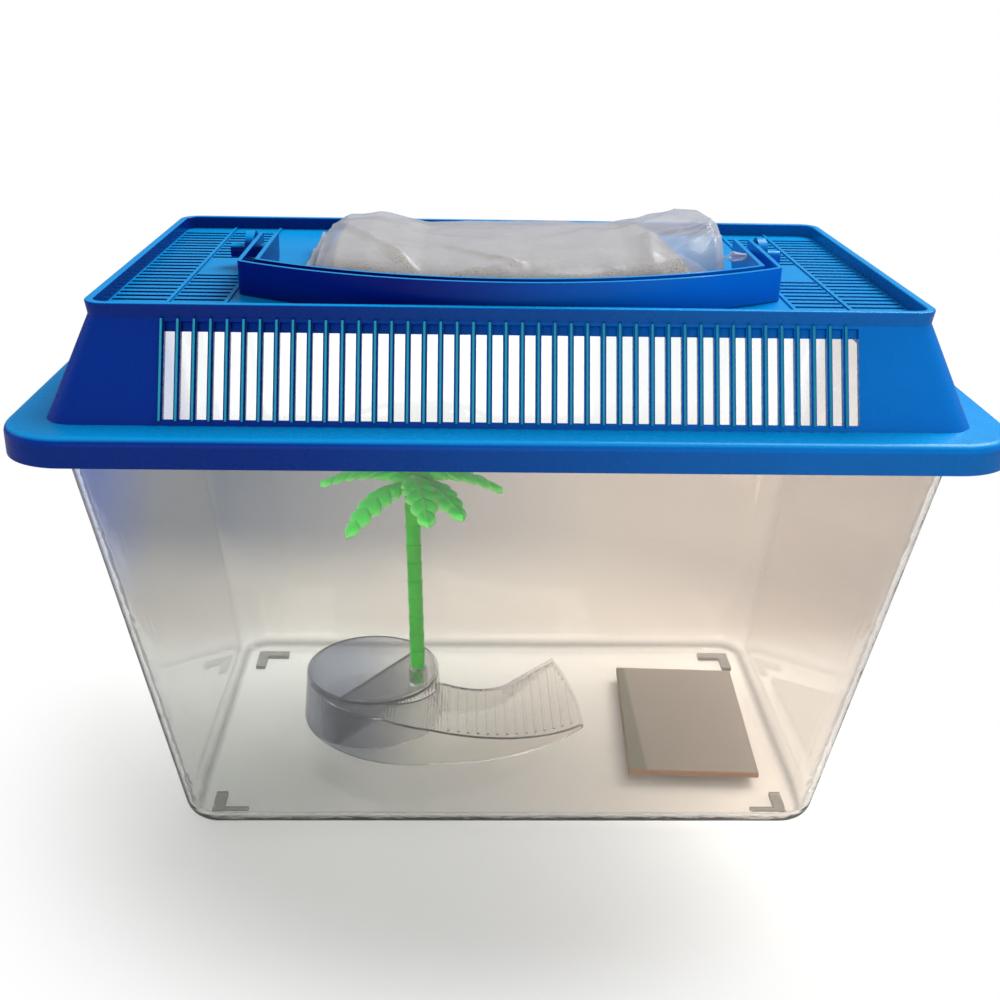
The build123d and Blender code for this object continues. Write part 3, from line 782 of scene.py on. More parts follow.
def node_group(name, inputs):
    """An empty geometry node tree with named inputs, its input node and its output node."""
    group = bpy.data.node_groups.new(name, "GeometryNodeTree")
    group.interface.new_socket("Geometry", in_out="INPUT", socket_type="NodeSocketGeometry")
    for label, kind in inputs:
        group.interface.new_socket(label, in_out="INPUT", socket_type=kind)
    group.interface.new_socket("Geometry", in_out="OUTPUT", socket_type="NodeSocketGeometry")
    source = group.nodes.new("NodeGroupInput")
    target = group.nodes.new("NodeGroupOutput")
    return group, source, target


def grown(name, group, values, mesh=None):
    """Runs a geometry node tree with its inputs set, and keeps the result as a plain mesh."""
    holder = bpy.data.objects.new(name + "_grower", mesh or bpy.data.meshes.new(name + "_seed"))
    bpy.context.scene.collection.objects.link(holder)
    modifier = holder.modifiers.new("Nodes", "NODES")
    modifier.node_group = group
    for item in group.interface.items_tree:
        if item.in_out == "INPUT" and item.name in values:
            modifier[item.identifier] = values[item.name]
    holder.update_tag()
    bpy.context.view_layer.update()
    graph = bpy.context.evaluated_depsgraph_get()
    result = bpy.data.meshes.new_from_object(holder.evaluated_get(graph), depsgraph=graph)
    result.name = name
    holder.modifiers.remove(modifier)
    bpy.data.objects.remove(holder)
    return result


def close_tree(group, target, geometry, material):
    """Ends a tree: its instances made real, with their material, at the group's output."""
    real = add(group, "GeometryNodeRealizeInstances", {"Geometry": geometry})
    coated = add(
        group, "GeometryNodeSetMaterial", {"Geometry": real.outputs["Geometry"], "Material": material}
    )
    group.links.new(coated.outputs["Geometry"], target.inputs["Geometry"])
    return group


# Lid sizes that repeat the part's own, in metres
FLANGE_TOP = 159.3 * MM
DOME_RISE = 28.5 * MM
DOME_INSET = 13.9 * MM
DOME_FOOT_HALF = 87.24 * MM
SLOT_MARGIN_LOW = 1.7 * MM
SLOT_MARGIN_HIGH = 0.8 * MM
RIB_STAND = 0.9 * MM
RIB_OVERRUN = 0.6 * MM


def rib_tree(material):
    """Tree that lays a row of upright ribs on the lid's front wall and turns a copy onto its rear wall."""
    group, source, target = node_group(
        "lid_rib_rows",
        (
            ("Count", "NodeSocketInt"),
            ("Pitch", "NodeSocketFloat"),
            ("Radius", "NodeSocketFloat"),
            ("Foot", "NodeSocketVector"),
            ("Run", "NodeSocketVector"),
        ),
    )
    spine = add(group, "GeometryNodeCurvePrimitiveLine", {"Start": (0, 0, 0), "End": source.outputs["Run"]})
    ring = add(
        group, "GeometryNodeCurvePrimitiveCircle", {"Resolution": 10, "Radius": source.outputs["Radius"]}
    )
    rod = add(
        group,
        "GeometryNodeCurveToMesh",
        {"Curve": spine.outputs["Curve"], "Profile Curve": ring.outputs["Curve"], "Fill Caps": True},
    )
    last = add(group, "ShaderNodeMath", {0: source.outputs["Count"], 1: 1.0}, operation="SUBTRACT")
    width = add(
        group, "ShaderNodeMath", {0: last.outputs["Value"], 1: source.outputs["Pitch"]}, operation="MULTIPLY"
    )
    lead = add(
        group, "ShaderNodeMath", {0: width.outputs["Value"], 1: source.outputs["Pitch"]}, operation="ADD"
    )
    half = add(group, "ShaderNodeMath", {0: lead.outputs["Value"], 1: -0.5}, operation="MULTIPLY")
    shift = add(group, "ShaderNodeCombineXYZ", {"X": half.outputs["Value"]})
    first = add(
        group,
        "ShaderNodeVectorMath",
        {0: source.outputs["Foot"], 1: shift.outputs["Vector"]},
        operation="ADD",
    )
    step = add(group, "ShaderNodeCombineXYZ", {"X": source.outputs["Pitch"]})
    row = add(
        group,
        "GeometryNodeMeshLine",
        {
            "Count": source.outputs["Count"],
            "Start Location": first.outputs["Vector"],
            "Offset": step.outputs["Vector"],
        },
    )
    ribs = add(
        group,
        "GeometryNodeInstanceOnPoints",
        {"Points": row.outputs["Mesh"], "Instance": rod.outputs["Mesh"]},
    )
    rear = add(
        group, "GeometryNodeTransform", {"Geometry": ribs.outputs["Instances"], "Rotation": (0, 0, pi)}
    )
    both = add(group, "GeometryNodeJoinGeometry")
    group.links.new(ribs.outputs["Instances"], both.inputs["Geometry"])
    group.links.new(rear.outputs["Geometry"], both.inputs["Geometry"])
    return close_tree(group, target, both.outputs["Geometry"], material)


class TANK_OT_lid(bpy.types.Operator):
    """Finishes the lid and lays rounded crests on its ribs"""

    bl_idname = "pet_tank.lid"
    bl_label = "Lid"

    def execute(self, context):
        settings = context.scene.pet_tank_lid
        low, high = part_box("lid")
        span = (low[0] * 0.6, high[0] * 0.95)
        # the lid's upright faces get a painted shade, at 0.65 of their blue
        blue = moulded_polypropylene(
            "moulded_polypropylene_lid", settings.left, settings.right, settings.upper, span, upright=0.65
        )
        paint("lid", blue)
        # painted highlight: the ribs are drawn a pale blue, as their lit crests look
        pale = moulded_polypropylene(
            "moulded_polypropylene_ribs",
            settings.rib_highlight_left,
            settings.rib_highlight_right,
            settings.rib_highlight_right,
            span,
            roughness=0.2,
        )
        slope = hypot(DOME_RISE, DOME_INSET)
        rise, lean = DOME_RISE / slope, DOME_INSET / slope
        start = SLOT_MARGIN_LOW / rise - RIB_OVERRUN
        length = slope - SLOT_MARGIN_HIGH / rise + RIB_OVERRUN - start
        stand = RIB_STAND - settings.rib_radius * 0.6
        foot = (0, -DOME_FOOT_HALF + start * lean - stand * rise, FLANGE_TOP + start * rise + stand * lean)
        mesh = grown(
            "lid_rib_crests",
            rib_tree(pale),
            {
                "Count": settings.rib_count,
                "Pitch": settings.rib_pitch,
                "Radius": settings.rib_radius,
                "Foot": foot,
                "Run": (0, length * lean, length * rise),
            },
        )
        for face in mesh.polygons:
            face.use_smooth = len(face.vertices) == 4
        placed("lid_rib_crests", mesh, "lid")
        return {"FINISHED"}


class TANK_OT_handle(bpy.types.Operator):
    """Finishes the carry handle"""

    bl_idname = "pet_tank.handle"
    bl_label = "Handle"

    def execute(self, context):
        settings = context.scene.pet_tank_lid
        low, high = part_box("handle")
        span = (low[0] * 0.4, high[0] * 0.9)
        # painted shade: the handle's blue darkens towards its left end
        paint(
            "handle",
            moulded_polypropylene(
                "moulded_polypropylene_handle",
                settings.handle_left,
                settings.handle_right,
                settings.upper,
                span,
                roughness=0.22,
            ),
        )
        return {"FINISHED"}


class TANK_OT_tub(bpy.types.Operator):
    """Finishes the clear tub"""

    bl_idname = "pet_tank.tub"
    bl_label = "Tub"

    def execute(self, context):
        settings = context.scene.pet_tank_tub
        low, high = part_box("tank")
        span = (low[0] * 0.8, high[0] * 0.8)
        paint(
            "tank",
            clear_polystyrene(
                "clear_polystyrene_tub",
                settings.left,
                settings.right,
                settings.edge,
                span,
                waviness=0.015,
                glow=settings.glow,
                corner=settings.corner,
            ),
        )
        return {"FINISHED"}


class TANK_OT_island(bpy.types.Operator):
    """Finishes the smoky island"""

    bl_idname = "pet_tank.island"
    bl_label = "Island"

    def execute(self, context):
        settings = context.scene.pet_tank_tub
        low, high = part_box("island")
        paint(
            "island",
            clear_polystyrene(
                "smoky_polystyrene_island",
                settings.island_left,
                settings.island_right,
                settings.island_edge,
                (blend(low[0], high[0], 0.1), blend(low[0], high[0], 0.5)),
                waviness=0.05,
                ripple=260.0,
            ),
        )
        return {"FINISHED"}


class TANK_OT_tile(bpy.types.Operator):
    """Finishes the floor tile"""

    bl_idname = "pet_tank.tile"
    bl_label = "Floor tile"

    def execute(self, context):
        settings = context.scene.pet_tank_bag
        low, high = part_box("floor_tile")
        paint(
            "floor_tile",
            honed_slate("honed_slate_tile", settings.tile, settings.tile_shade_band, settings.tile_rim, low, high),
        )
        return {"FINISHED"}


# Palm sizes that repeat the part's own; leaves as heading in degrees, drop at the tip and share of the hub
PALM_FOOT = Vector((-32.3, 10.6, 23.3)) * MM
PALM_LEAN = radians(1.4)
CROWN_HEIGHT = 78.3 * MM
HUB_HEIGHT = 5.1 * MM
PALM_LEAVES = (
    (-134.0, 13.5 * MM, 0.3),
    (-78.0, 8.0 * MM, 0.8),
    (-56.0, 5.0 * MM, 0.3),
    (2.0, 9.0 * MM, 0.8),
    (60.0, 9.0 * MM, 0.3),
    (116.0, 8.0 * MM, 0.8),
    (174.0, 5.0 * MM, 0.55),
)
# Hub outline as radius and height, in millimetres
HUB_OUTLINE = ((0.0, 0.0), (4.2, 0.0), (4.2, 3.2), (3.7, 4.4), (2.4, 5.0), (0.0, 5.1))
# Leaf sizes; the crest's share is measured along the leaf
LEAF_DROP = 8.0 * MM
LEAF_CREST = 3.0 * MM
LEAF_CREST_SHARE = 0.3
LEAF_ROOT = 1.6 * MM
LEAF_HALF_WIDTH = 6.4 * MM
LEAF_THICKNESS = 1.0 * MM
# Rows of the leaf's mesh for each lobe, and its columns on either side of the midrib
LEAF_ROWS = 14
LEAF_COLUMNS = 7


def leaf_width(share, phase):
    """Half width of the leaf: swelling and tapering along it, and dipping between its lobes."""
    swell = LEAF_ROOT + (LEAF_HALF_WIDTH - LEAF_ROOT) * sin(pi * share ** 0.8) ** 0.7
    lobe = sin(pi * phase) ** 0.55
    notch = blend(0.95, 0.6, smooth(0.0, 0.25, share))
    tip = 1 - smooth(0.9, 1.0, share) ** 2 * 0.85
    return swell * blend(notch, 1.0, lobe) * tip


def leaf_height(share):
    """Height of the leaf's midrib over its root: up to a crest, then down to the tip."""
    if share < LEAF_CREST_SHARE:
        return LEAF_CREST * (1 - (1 - share / LEAF_CREST_SHARE) ** 2)
    fall = (share - LEAF_CREST_SHARE) / (1 - LEAF_CREST_SHARE)
    return LEAF_CREST - LEAF_DROP * fall ** 1.8


def leaf_bmesh(settings):
    """One lobed leaf running out along X, arched, with a raised midrib, grooved lobes and thin rims."""
    rows = settings.lobes * LEAF_ROWS
    half_columns = LEAF_COLUMNS
    bm = bmesh.new()
    rim = bm.verts.layers.float.new("rim")
    grid = {}
    for i in range(rows + 1):
        share = i / rows
        phase = (share * settings.lobes) % 1.0
        half = leaf_width(share, phase)
        groove = exp(-(min(phase, 1 - phase) / 0.1) ** 2)
        for j in range(-half_columns, half_columns + 1):
            across = abs(j) / half_columns
            # lobes lean towards the tip as they leave the midrib
            x = settings.leaf_length * share + 4.5 * MM * across ** 1.4 * (1 - share) * min(share * 5, 1.0)
            y = half * j / half_columns
            middle = leaf_height(share) - 1.5 * MM * across ** 2
            relief = 0.4 * MM * exp(-(across / 0.1) ** 2) - 0.35 * MM * groove * smooth(0.1, 0.4, across)
            relief += 0.3 * MM * sin(pi * phase) * smooth(0.1, 0.6, across)
            thick = LEAF_THICKNESS * (0.55 if across == 1 else 1.0)
            for side, z in ((0, middle - thick / 2), (1, middle + thick / 2 + relief * (1 - across ** 6))):
                vertex = bm.verts.new((x, y, z))
                vertex[rim] = max(
                    smooth(0.72, 1.0, across), exp(-(across / 0.12) ** 2) * 0.7, groove * across * 0.5
                )
                grid[i, j, side] = vertex
    for i in range(rows):
        for j in range(-half_columns, half_columns):
            for side in (0, 1):
                bm.faces.new(
                    [grid[i, j, side], grid[i + 1, j, side], grid[i + 1, j + 1, side], grid[i, j + 1, side]]
                )
        for j in (-half_columns, half_columns):
            bm.faces.new([grid[i, j, 0], grid[i + 1, j, 0], grid[i + 1, j, 1], grid[i, j, 1]])
    for i in (0, rows):
        for j in range(-half_columns, half_columns):
            bm.faces.new([grid[i, j, 0], grid[i, j + 1, 0], grid[i, j + 1, 1], grid[i, j, 1]])
    bmesh.ops.recalc_face_normals(bm, faces=bm.faces)
    return bm


def leaf_tree(leaf, material):
    """Tree that stands a copy of a leaf at every point, turned by the point's own heading and tilt."""
    group, source, target = node_group("palm_leaves", ())
    heading = add(group, "GeometryNodeInputNamedAttribute", {"Name": "heading"}, data_type="FLOAT")
    tilt = add(group, "GeometryNodeInputNamedAttribute", {"Name": "tilt"}, data_type="FLOAT")
    turn = add(
        group, "ShaderNodeCombineXYZ", {"Y": tilt.outputs["Attribute"], "Z": heading.outputs["Attribute"]}
    )
    shape = add(group, "GeometryNodeObjectInfo", {"Object": leaf})
    leaves = add(
        group,
        "GeometryNodeInstanceOnPoints",
        {
            "Points": source.outputs["Geometry"],
            "Instance": shape.outputs["Geometry"],
            "Rotation": turn.outputs["Vector"],
        },
    )
    return close_tree(group, target, leaves.outputs["Instances"], material)


def leaf_points(settings):
    """One point for each leaf, with the leaf's heading and tilt as attributes."""
    mesh = bpy.data.meshes.new("palm_leaf_points")
    mesh.from_pydata([(0, 0, HUB_HEIGHT * share) for heading, drop, share in PALM_LEAVES], [], [])
    headings = mesh.attributes.new("heading", "FLOAT", "POINT")
    tilts = mesh.attributes.new("tilt", "FLOAT", "POINT")
    for index, (heading, drop, share) in enumerate(PALM_LEAVES):
        headings.data[index].value = radians(heading)
        tilts.data[index].value = (drop - LEAF_DROP) / settings.leaf_length
    return mesh


def hub_rings(crown):
    """Domed hub that the leaves grow from, turned about the crown's axis."""
    around = 24
    turned = []
    for radius, height in HUB_OUTLINE:
        angles = [2 * pi * k / around for k in range(around)]
        turned.append(
            [crown.verts.new(Vector((radius * cos(a), radius * sin(a), height)) * MM) for a in angles]
        )
    for lower, upper in zip(turned, turned[1:]):
        for k in range(around):
            crown.faces.new([lower[k], lower[(k + 1) % around], upper[(k + 1) % around], upper[k]])


class TANK_OT_palm(bpy.types.Operator):
    """Finishes the trunk and grows the leaf crown"""

    bl_idname = "pet_tank.palm"
    bl_label = "Palm"

    def execute(self, context):
        settings = context.scene.pet_tank_palm
        paint(
            "palm_trunk",
            trunk_polyethylene("soft_polyethylene_trunk", settings.trunk, settings.trunk_shade),
        )
        green = leaf_polyethylene("soft_polyethylene_leaves", settings.leaf, settings.rim)
        lean = Matrix.Translation(PALM_FOOT) @ Matrix.Rotation(-PALM_LEAN, 4, "Y")
        upright = lean @ Matrix.Translation((0, 0, CROWN_HEIGHT))
        shape = bpy.data.meshes.new("palm_leaf")
        leaf = leaf_bmesh(settings)
        leaf.to_mesh(shape)
        leaf.free()
        pattern = bpy.data.objects.new("palm_leaf", shape)
        grown_leaves = grown("palm_leaves", leaf_tree(pattern, green), {}, leaf_points(settings))
        bpy.data.objects.remove(pattern)
        crown = bmesh.new()
        crown.from_mesh(grown_leaves)
        hub_rings(crown)
        crown.transform(upright)
        piece = finished("palm_leaf_crown", crown, "palm", green)
        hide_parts("palm_crown")
        return {"FINISHED"}


# Height of the lid's deck, and bag sections as x, top over the deck, half width and middle y, in millimetres
DECK = 188.3
FILM_STATIONS = (
    (-64.0, 3.0, 39.0, -1.5),
    (-62.0, 11.0, 41.2, -1.5),
    (-56.0, 14.6, 43.6, -1.5),
    (-46.0, 14.8, 45.0, -1.5),
    (-37.0, 13.6, 45.3, -1.5),
    (-28.0, 11.8, 45.5, -1.5),
    (14.0, 12.3, 45.4, -1.5),
    (38.0, 12.7, 44.2, -1.5),
    (46.0, 14.6, 43.2, -1.5),
    (57.0, 17.2, 38.6, -2.8),
    (66.0, 19.8, 30.0, -6.0),
    (69.0, 18.6, 21.5, -10.0),
    (71.5, 8.0, 5.0, -18.5),
)
FILL_STATIONS = (
    (-60.0, 6.8, 38.0, -1.5),
    (-56.0, 12.0, 41.6, -1.5),
    (-46.0, 13.2, 43.2, -1.5),
    (-37.0, 12.2, 43.6, -1.5),
    (-28.0, 10.3, 43.8, -1.5),
    (14.0, 10.9, 43.6, -1.5),
    (38.0, 11.4, 42.4, -1.5),
    (46.0, 12.4, 41.2, -1.5),
    (53.0, 10.0, 37.6, -1.8),
    (61.0, 3.2, 29.0, -2.6),
)
FILL_LIFT = 0.4 * MM
GRAIN_RADIUS = 0.3 * MM
GRAIN_SEED = 11
# Folds as start, end, height and half width, in millimetres
FOLDS = (
    ((-60, -2), (-38, 4), 0.7, 7.0),
    ((-38, 4), (-24, -8), 0.7, 6.0),
    ((-58, -5), (-31, -42), 1.8, 4.0),
    ((-22, -22), (2, -38), 1.3, 3.5),
    ((34, -3), (66, 14), 1.2, 8.0),
    ((47, -12), (45, -38), 1.2, 3.5),
    ((-20, 30), (30, 22), 0.8, 8.0),
    ((-50, 34), (-28, 12), 0.9, 6.0),
    ((50, 26), (66, -4), 1.0, 4.0),
    ((-18, -44), (14, -34), 0.7, 4.0),
    ((56, -32), (69, -16), 0.9, 3.5),
    ((10, -12), (30, 6), 0.6, 5.0),
)
# Pinched place of the film, and the start and end of the tail that grows from it
KNOT = (71.5, -19.0)
TAIL_START = (69.5, -19.0, 195.0)
TAIL_END = (79.0, -20.5, 198.5)
# Welded fin at the left end: its place, height over the deck, ends, reach and half thickness
SEAM_X = -63.6
SEAM_FOOT = 2.2
SEAM_START = -40.0
SEAM_END = 37.0
SEAM_REACH = 3.6
SEAM_HALF = 0.12


def station_at(stations, x):
    """Height, half width and middle y of a bag section, smoothed between stations."""
    for left, right in zip(stations, stations[1:]):
        if x <= right[0]:
            share = (x - left[0]) / (right[0] - left[0])
            share = share * share * (3 - 2 * share) * 0.5 + share * 0.5
            return tuple(blend(left[k], right[k], share) for k in (1, 2, 3))
    return stations[-1][1:]


def lump_height(x, y):
    """Soft unevenness of the heap, which the film follows, in millimetres."""
    broad = noise.noise(Vector((x / 22, y / 16, 4.0)))
    small = noise.noise(Vector((x / 8, y / 8, 9.0)))
    return 0.9 * broad + 0.3 * small


def fold_height(x, y):
    """Height that the sharp folds and the pleats at both ends add to the film, in millimetres."""
    total = 0.0
    for (ax, ay), (bx, by), height, width in FOLDS:
        run_x, run_y = bx - ax, by - ay
        length = hypot(run_x, run_y)
        along = ((x - ax) * run_x + (y - ay) * run_y) / length ** 2
        off = ((x - ax) * run_y - (y - ay) * run_x) / length
        fade = smooth(-0.2, 0.15, along) * (1 - smooth(0.8, 1.2, along))
        total += height * fade * max(1 - abs(off) / width, 0.0) ** 1.3
    turn = atan2(y - KNOT[1], KNOT[0] - x)
    near = hypot(x - KNOT[0], y - KNOT[1])
    knot_pleats = abs(sin(7 * turn + 0.6)) * smooth(2, 8, near) * (1 - smooth(14, 34, near))
    end_pleats = abs(sin(y / 4.5 + 0.1 * x)) * (1 - smooth(-63, -48, x))
    return total + 0.9 * knot_pleats + 0.5 * end_pleats


def pillow_bmesh(stations, columns, around, relief):
    """Closed pillow through the stations: flat under, domed over, with a relief on its upper side."""
    bm = bmesh.new()
    first, last = stations[0][0], stations[-1][0]
    rings = []
    for i in range(columns + 1):
        # sections crowd towards both ends, where the pillow turns sharply
        x = blend(first, last, 0.5 - 0.5 * cos(pi * i / columns))
        height, half, middle = station_at(stations, x)
        ring = []
        for k in range(around):
            c, s = cos(2 * pi * k / around), sin(2 * pi * k / around)
            y = middle + half * abs(c) ** 0.75 * (1 if c > 0 else -1)
            dome = abs(s) ** 0.62
            z = 0.35 * (1 - dome)
            if s > 0:
                z = height * dome + relief(x, y) * min(dome * 1.2, 1.0) * smooth(0, 8, height)
            ring.append(bm.verts.new((x * MM, y * MM, (DECK + max(z, 0.0)) * MM)))
        rings.append(ring)
    close_rings(bm, rings)
    return bm


def grain_tree(material):
    """Tree that scatters grains on the upward faces of the fill."""
    group, source, target = node_group(
        "sand_grains",
        (("Density", "NodeSocketFloat"), ("Grain Radius", "NodeSocketFloat"), ("Seed", "NodeSocketInt")),
    )
    normal = add(group, "GeometryNodeInputNormal")
    split = add(group, "ShaderNodeSeparateXYZ", {"Vector": normal.outputs["Normal"]})
    up = add(group, "FunctionNodeCompare", {"A": split.outputs["Z"], "B": 0.1}, operation="GREATER_THAN")
    scatter = add(
        group,
        "GeometryNodeDistributePointsOnFaces",
        {
            "Mesh": source.outputs["Geometry"],
            "Selection": up.outputs["Result"],
            "Density": source.outputs["Density"],
            "Seed": source.outputs["Seed"],
        },
    )
    grain = add(
        group, "GeometryNodeMeshIcoSphere", {"Radius": source.outputs["Grain Radius"], "Subdivisions": 1}
    )
    spread = add(
        group,
        "FunctionNodeRandomValue",
        {"Min": (0.5, 0.5, 0.4), "Max": (1.3, 1.1, 0.8), "Seed": source.outputs["Seed"]},
        data_type="FLOAT_VECTOR",
    )
    turn = add(
        group,
        "FunctionNodeRandomValue",
        {"Min": (0, 0, 0), "Max": (6.3, 6.3, 6.3), "Seed": source.outputs["Seed"]},
        data_type="FLOAT_VECTOR",
    )
    laid = add(
        group,
        "GeometryNodeInstanceOnPoints",
        {
            "Points": scatter.outputs["Points"],
            "Instance": grain.outputs["Mesh"],
            "Rotation": turn.outputs["Value"],
            "Scale": spread.outputs["Value"],
        },
    )
    return close_tree(group, target, laid.outputs["Instances"], material)


def seam_bmesh():
    """Welded fin along the bag's left end, standing out and up, slightly wavy."""
    bm = bmesh.new()
    steps = 60
    rings = []
    for i in range(steps + 1):
        share = i / steps
        y = blend(SEAM_START, SEAM_END, share)
        reach = SEAM_REACH * smooth(0, 0.06, share) * (1 - smooth(0.94, 1, share)) + 0.3
        wave = 0.5 * sin(share * 17) + 0.3 * sin(share * 31)
        foot = DECK + SEAM_FOOT
        crest = SEAM_X - reach * 0.7
        top = foot + 0.2 + reach * 0.9 + wave
        corners = (
            (SEAM_X - SEAM_HALF, foot),
            (SEAM_X + SEAM_HALF, foot),
            (crest + SEAM_HALF, top),
            (crest - SEAM_HALF, top),
        )
        rings.append([bm.verts.new(Vector((x, y, z)) * MM) for x, z in corners])
    close_rings(bm, rings)
    return bm


def twist_bmesh():
    """Gathered end of the film: pinched at the knot and opening into a crumpled pointed tail."""
    bm = bmesh.new()
    rings = []
    steps, around = 22, 28
    for i in range(steps + 1):
        share = i / steps
        x, y, z = (blend(start, end, share) for start, end in zip(TAIL_START, TAIL_END))
        z += 0.8 * sin(share * 5)
        neck = 1.9 * (1 - smooth(0, 0.25, share) * 0.6)
        radius = neck + 2.6 * smooth(0.3, 0.6, share) * (1 - share) ** 0.8
        ring = []
        for k in range(around):
            angle = 2 * pi * k / around
            pleat = 1 + 0.35 * sin(5 * angle + share * 4) * smooth(0.1, 0.5, share) + 0.15 * sin(9 * angle)
            side = y + radius * pleat * cos(angle)
            rise = z + radius * 0.7 * pleat * sin(angle)
            ring.append(bm.verts.new((x * MM, side * MM, rise * MM)))
        rings.append(ring)
    close_rings(bm, rings)
    return bm


class TANK_OT_bag(bpy.types.Operator):
    """Lays the creased film bag and its fill on the lid"""

    bl_idname = "pet_tank.bag"
    bl_label = "Bag"

    def execute(self, context):
        settings = context.scene.pet_tank_bag
        sand = washed_sand("washed_sand_fill", settings.fill, settings.fill_shade)
        film = polythene_film("polythene_film_bag", settings.film)
        fill_piece = finished(
            "bag_fill_heap", pillow_bmesh(FILL_STATIONS, 110, 96, lump_height), "bag", sand
        )
        fill_piece.data.transform(Matrix.Translation((0, 0, FILL_LIFT)))
        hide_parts("bag_fill")
        area = sum(face.area for face in fill_piece.data.polygons) * 0.5
        grains = grown(
            "bag_grains",
            grain_tree(sand),
            {"Density": settings.grains / area, "Grain Radius": GRAIN_RADIUS, "Seed": GRAIN_SEED},
            fill_piece.data.copy(),
        )
        placed("bag_grains", grains, "bag")
        skin = finished(
            "bag_film_skin",
            pillow_bmesh(FILM_STATIONS, 220, 200, lambda x, y: lump_height(x, y) + fold_height(x, y)),
            "bag",
            film,
        )
        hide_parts("bag_film")
        finished("bag_film_twist", twist_bmesh(), "bag", film)
        finished("bag_film_seam", seam_bmesh(), "bag", film)
        return {"FINISHED"}


# Camera as fitted to the photograph, with its angles in radians
CAMERA_PLACE = (-0.01496, -0.43358, 0.27993)
CAMERA_YAW = 0.0305
CAMERA_PITCH = 0.3918
CAMERA_ROLL = 0.0195
CAMERA_SHIFT = 0.0027
SENSOR = 36.0
# Soft boxes as name, place and side in metres, power in watts, colour and whether glossy faces mirror them
LAMPS = (
    ("key", (0.6, 0.55, 1.15), 0.8, 21.0, (1.0, 0.99, 0.97), True),
    ("front", (-0.2, -1.3, 0.2), 0.8, 10.0, (1.0, 0.98, 0.95), False),
    ("left", (-1.2, 0.35, 0.3), 0.7, 6.0, (1.0, 1.0, 1.0), False),
    ("right", (1.2, 0.35, 0.35), 0.7, 2.5, (1.0, 0.98, 0.95), False),
)
LAMP_AIM = Vector((0, 0, 0.1))
ROOM_LIGHT = 0.42
ROOM_MIRRORED = 0.15
PAPER_RADIUS = 3.0
PAPER_HEIGHT = -0.3 * MM


def add_lamp(name, place, size, power, colour, shiny):
    """Square soft box aimed at the middle of the tank; only a shiny one is mirrored in glossy faces."""
    lamp = bpy.data.lights.new(name, "AREA")
    lamp.shape = "SQUARE"
    lamp.size = size
    lamp.energy = power
    lamp.color = colour
    holder = bpy.data.objects.new(name, lamp)
    holder.location = place
    aim = LAMP_AIM - Vector(place)
    holder.rotation_euler = aim.to_track_quat("-Z", "Y").to_euler()
    holder.visible_glossy = shiny
    bpy.context.scene.collection.objects.link(holder)


def camera_turn():
    """Rotation of the camera from its yaw, pitch and roll."""
    flat = cos(CAMERA_PITCH)
    forward = Vector((sin(CAMERA_YAW) * flat, cos(CAMERA_YAW) * flat, -sin(CAMERA_PITCH)))
    level = Vector((cos(CAMERA_YAW), -sin(CAMERA_YAW), 0))
    above = level.cross(forward)
    right = cos(CAMERA_ROLL) * level + sin(CAMERA_ROLL) * above
    up = -sin(CAMERA_ROLL) * level + cos(CAMERA_ROLL) * above
    return Matrix((right, up, -forward)).transposed()


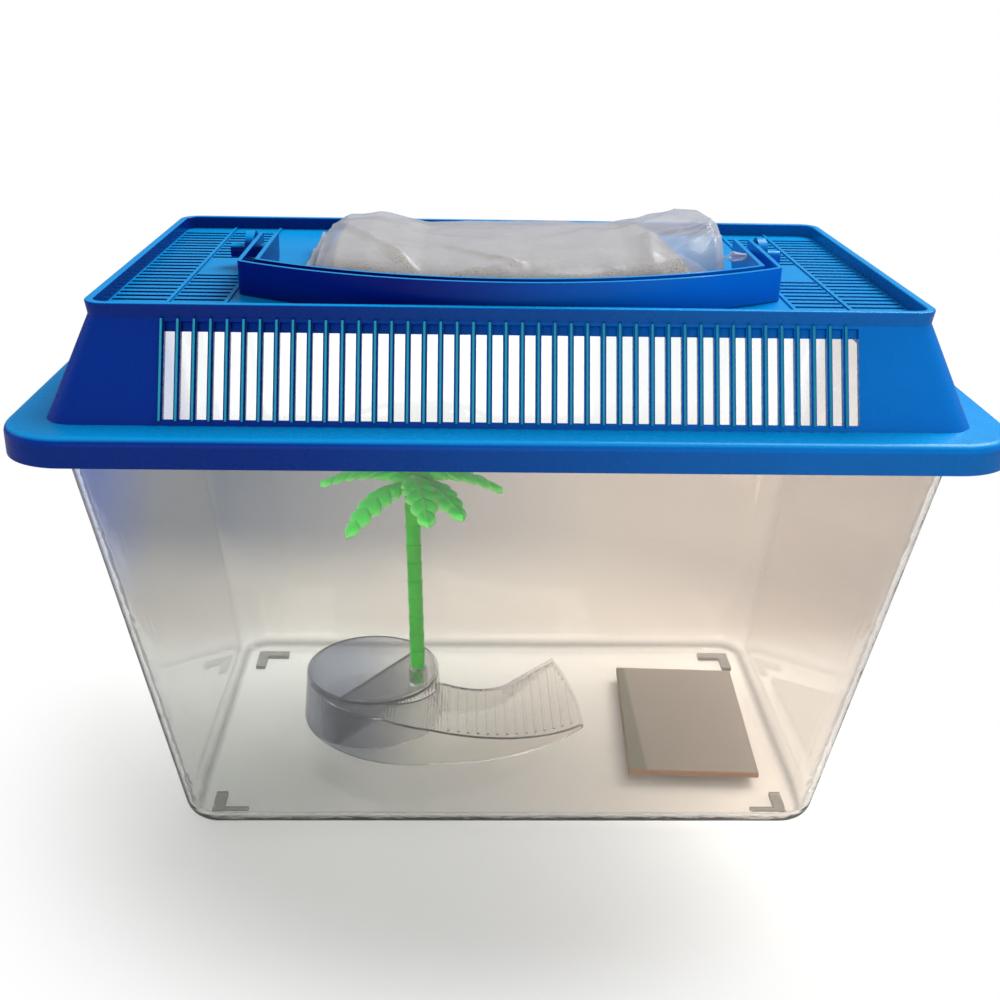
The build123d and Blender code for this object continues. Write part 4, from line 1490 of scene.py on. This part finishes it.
class TANK_OT_stage(bpy.types.Operator):
    """Sets the camera, the lamps, the world and the paper floor"""

    bl_idname = "pet_tank.stage"
    bl_label = "Stage"

    def execute(self, context):
        settings = context.scene.pet_tank_stage
        scene = context.scene
        scene.view_settings.view_transform = "Standard"

        camera = bpy.data.cameras.new("camera")
        camera.lens = settings.lens
        camera.sensor_width = SENSOR
        camera.shift_x = CAMERA_SHIFT
        camera.clip_start = 0.01
        camera.clip_end = 20.0
        holder = bpy.data.objects.new("camera", camera)
        scene.collection.objects.link(holder)
        holder.matrix_world = Matrix.Translation(CAMERA_PLACE) @ camera_turn().to_4x4()
        scene.camera = holder

        world = bpy.data.worlds.new("studio")
        scene.world = world
        world.use_nodes = True
        tree = world.node_tree
        tree.nodes.clear()
        # the room lights the matte faces well, and glossy faces mirror less of it
        power = add(
            tree,
            "ShaderNodeMapRange",
            {"Value": mirrored(tree), "To Min": ROOM_LIGHT, "To Max": ROOM_MIRRORED},
        )
        dim = add(tree, "ShaderNodeBackground", {"Color": WHITE, "Strength": power.outputs["Result"]})
        white = add(tree, "ShaderNodeBackground", {"Color": WHITE, "Strength": 1.0})
        both = add(
            tree,
            "ShaderNodeMixShader",
            {0: seen_directly(tree), 1: dim.outputs["Background"], 2: white.outputs["Background"]},
        )
        add(tree, "ShaderNodeOutputWorld", {"Surface": both.outputs["Shader"]})

        for lamp in LAMPS:
            add_lamp(*lamp)

        bm = bmesh.new()
        bmesh.ops.create_circle(bm, cap_ends=True, segments=64, radius=PAPER_RADIUS)
        mesh = bpy.data.meshes.new("paper_floor")
        bm.to_mesh(mesh)
        bm.free()
        mesh.materials.append(backdrop_paper("backdrop_paper", settings))
        floor = bpy.data.objects.new("paper_floor", mesh)
        floor.location.z = PAPER_HEIGHT
        scene.collection.objects.link(floor)
        return {"FINISHED"}


class TANK_PT_panel(bpy.types.Panel):
    """Buttons that build the pieces"""

    bl_idname = "TANK_PT_panel"
    bl_label = "Pet tank"
    bl_space_type = "VIEW_3D"
    bl_region_type = "UI"
    bl_category = "Pet tank"

    def draw(self, context):
        for operator in OPERATORS:
            self.layout.operator(operator.bl_idname)
        for name in SETTINGS:
            group = getattr(context.scene, name)
            for item in group.__annotations__:
                self.layout.prop(group, item)


SETTINGS = {
    "pet_tank_lid": LidSettings,
    "pet_tank_tub": TubSettings,
    "pet_tank_palm": PalmSettings,
    "pet_tank_bag": BagSettings,
    "pet_tank_stage": StageSettings,
}
OPERATORS = (
    TANK_OT_stage,
    TANK_OT_lid,
    TANK_OT_handle,
    TANK_OT_tub,
    TANK_OT_island,
    TANK_OT_palm,
    TANK_OT_tile,
    TANK_OT_bag,
)


def register():
    """Registers the settings, the operators and the panel."""
    for name, group in SETTINGS.items():
        bpy.utils.register_class(group)
        setattr(bpy.types.Scene, name, PointerProperty(type=group))
    for operator in OPERATORS:
        bpy.utils.register_class(operator)
    bpy.utils.register_class(TANK_PT_panel)


def unregister():
    """Takes the panel, the operators and the settings away again."""
    bpy.utils.unregister_class(TANK_PT_panel)
    for operator in reversed(OPERATORS):
        bpy.utils.unregister_class(operator)
    for name, group in SETTINGS.items():
        delattr(bpy.types.Scene, name)
        bpy.utils.unregister_class(group)


def main():
    """Builds every piece in order."""
    register()
    bpy.ops.pet_tank.stage()
    bpy.ops.pet_tank.lid()
    bpy.ops.pet_tank.handle()
    bpy.ops.pet_tank.tub()
    bpy.ops.pet_tank.island()
    bpy.ops.pet_tank.palm()
    bpy.ops.pet_tank.tile()
    bpy.ops.pet_tank.bag()


if __name__ == "__main__":
    main()
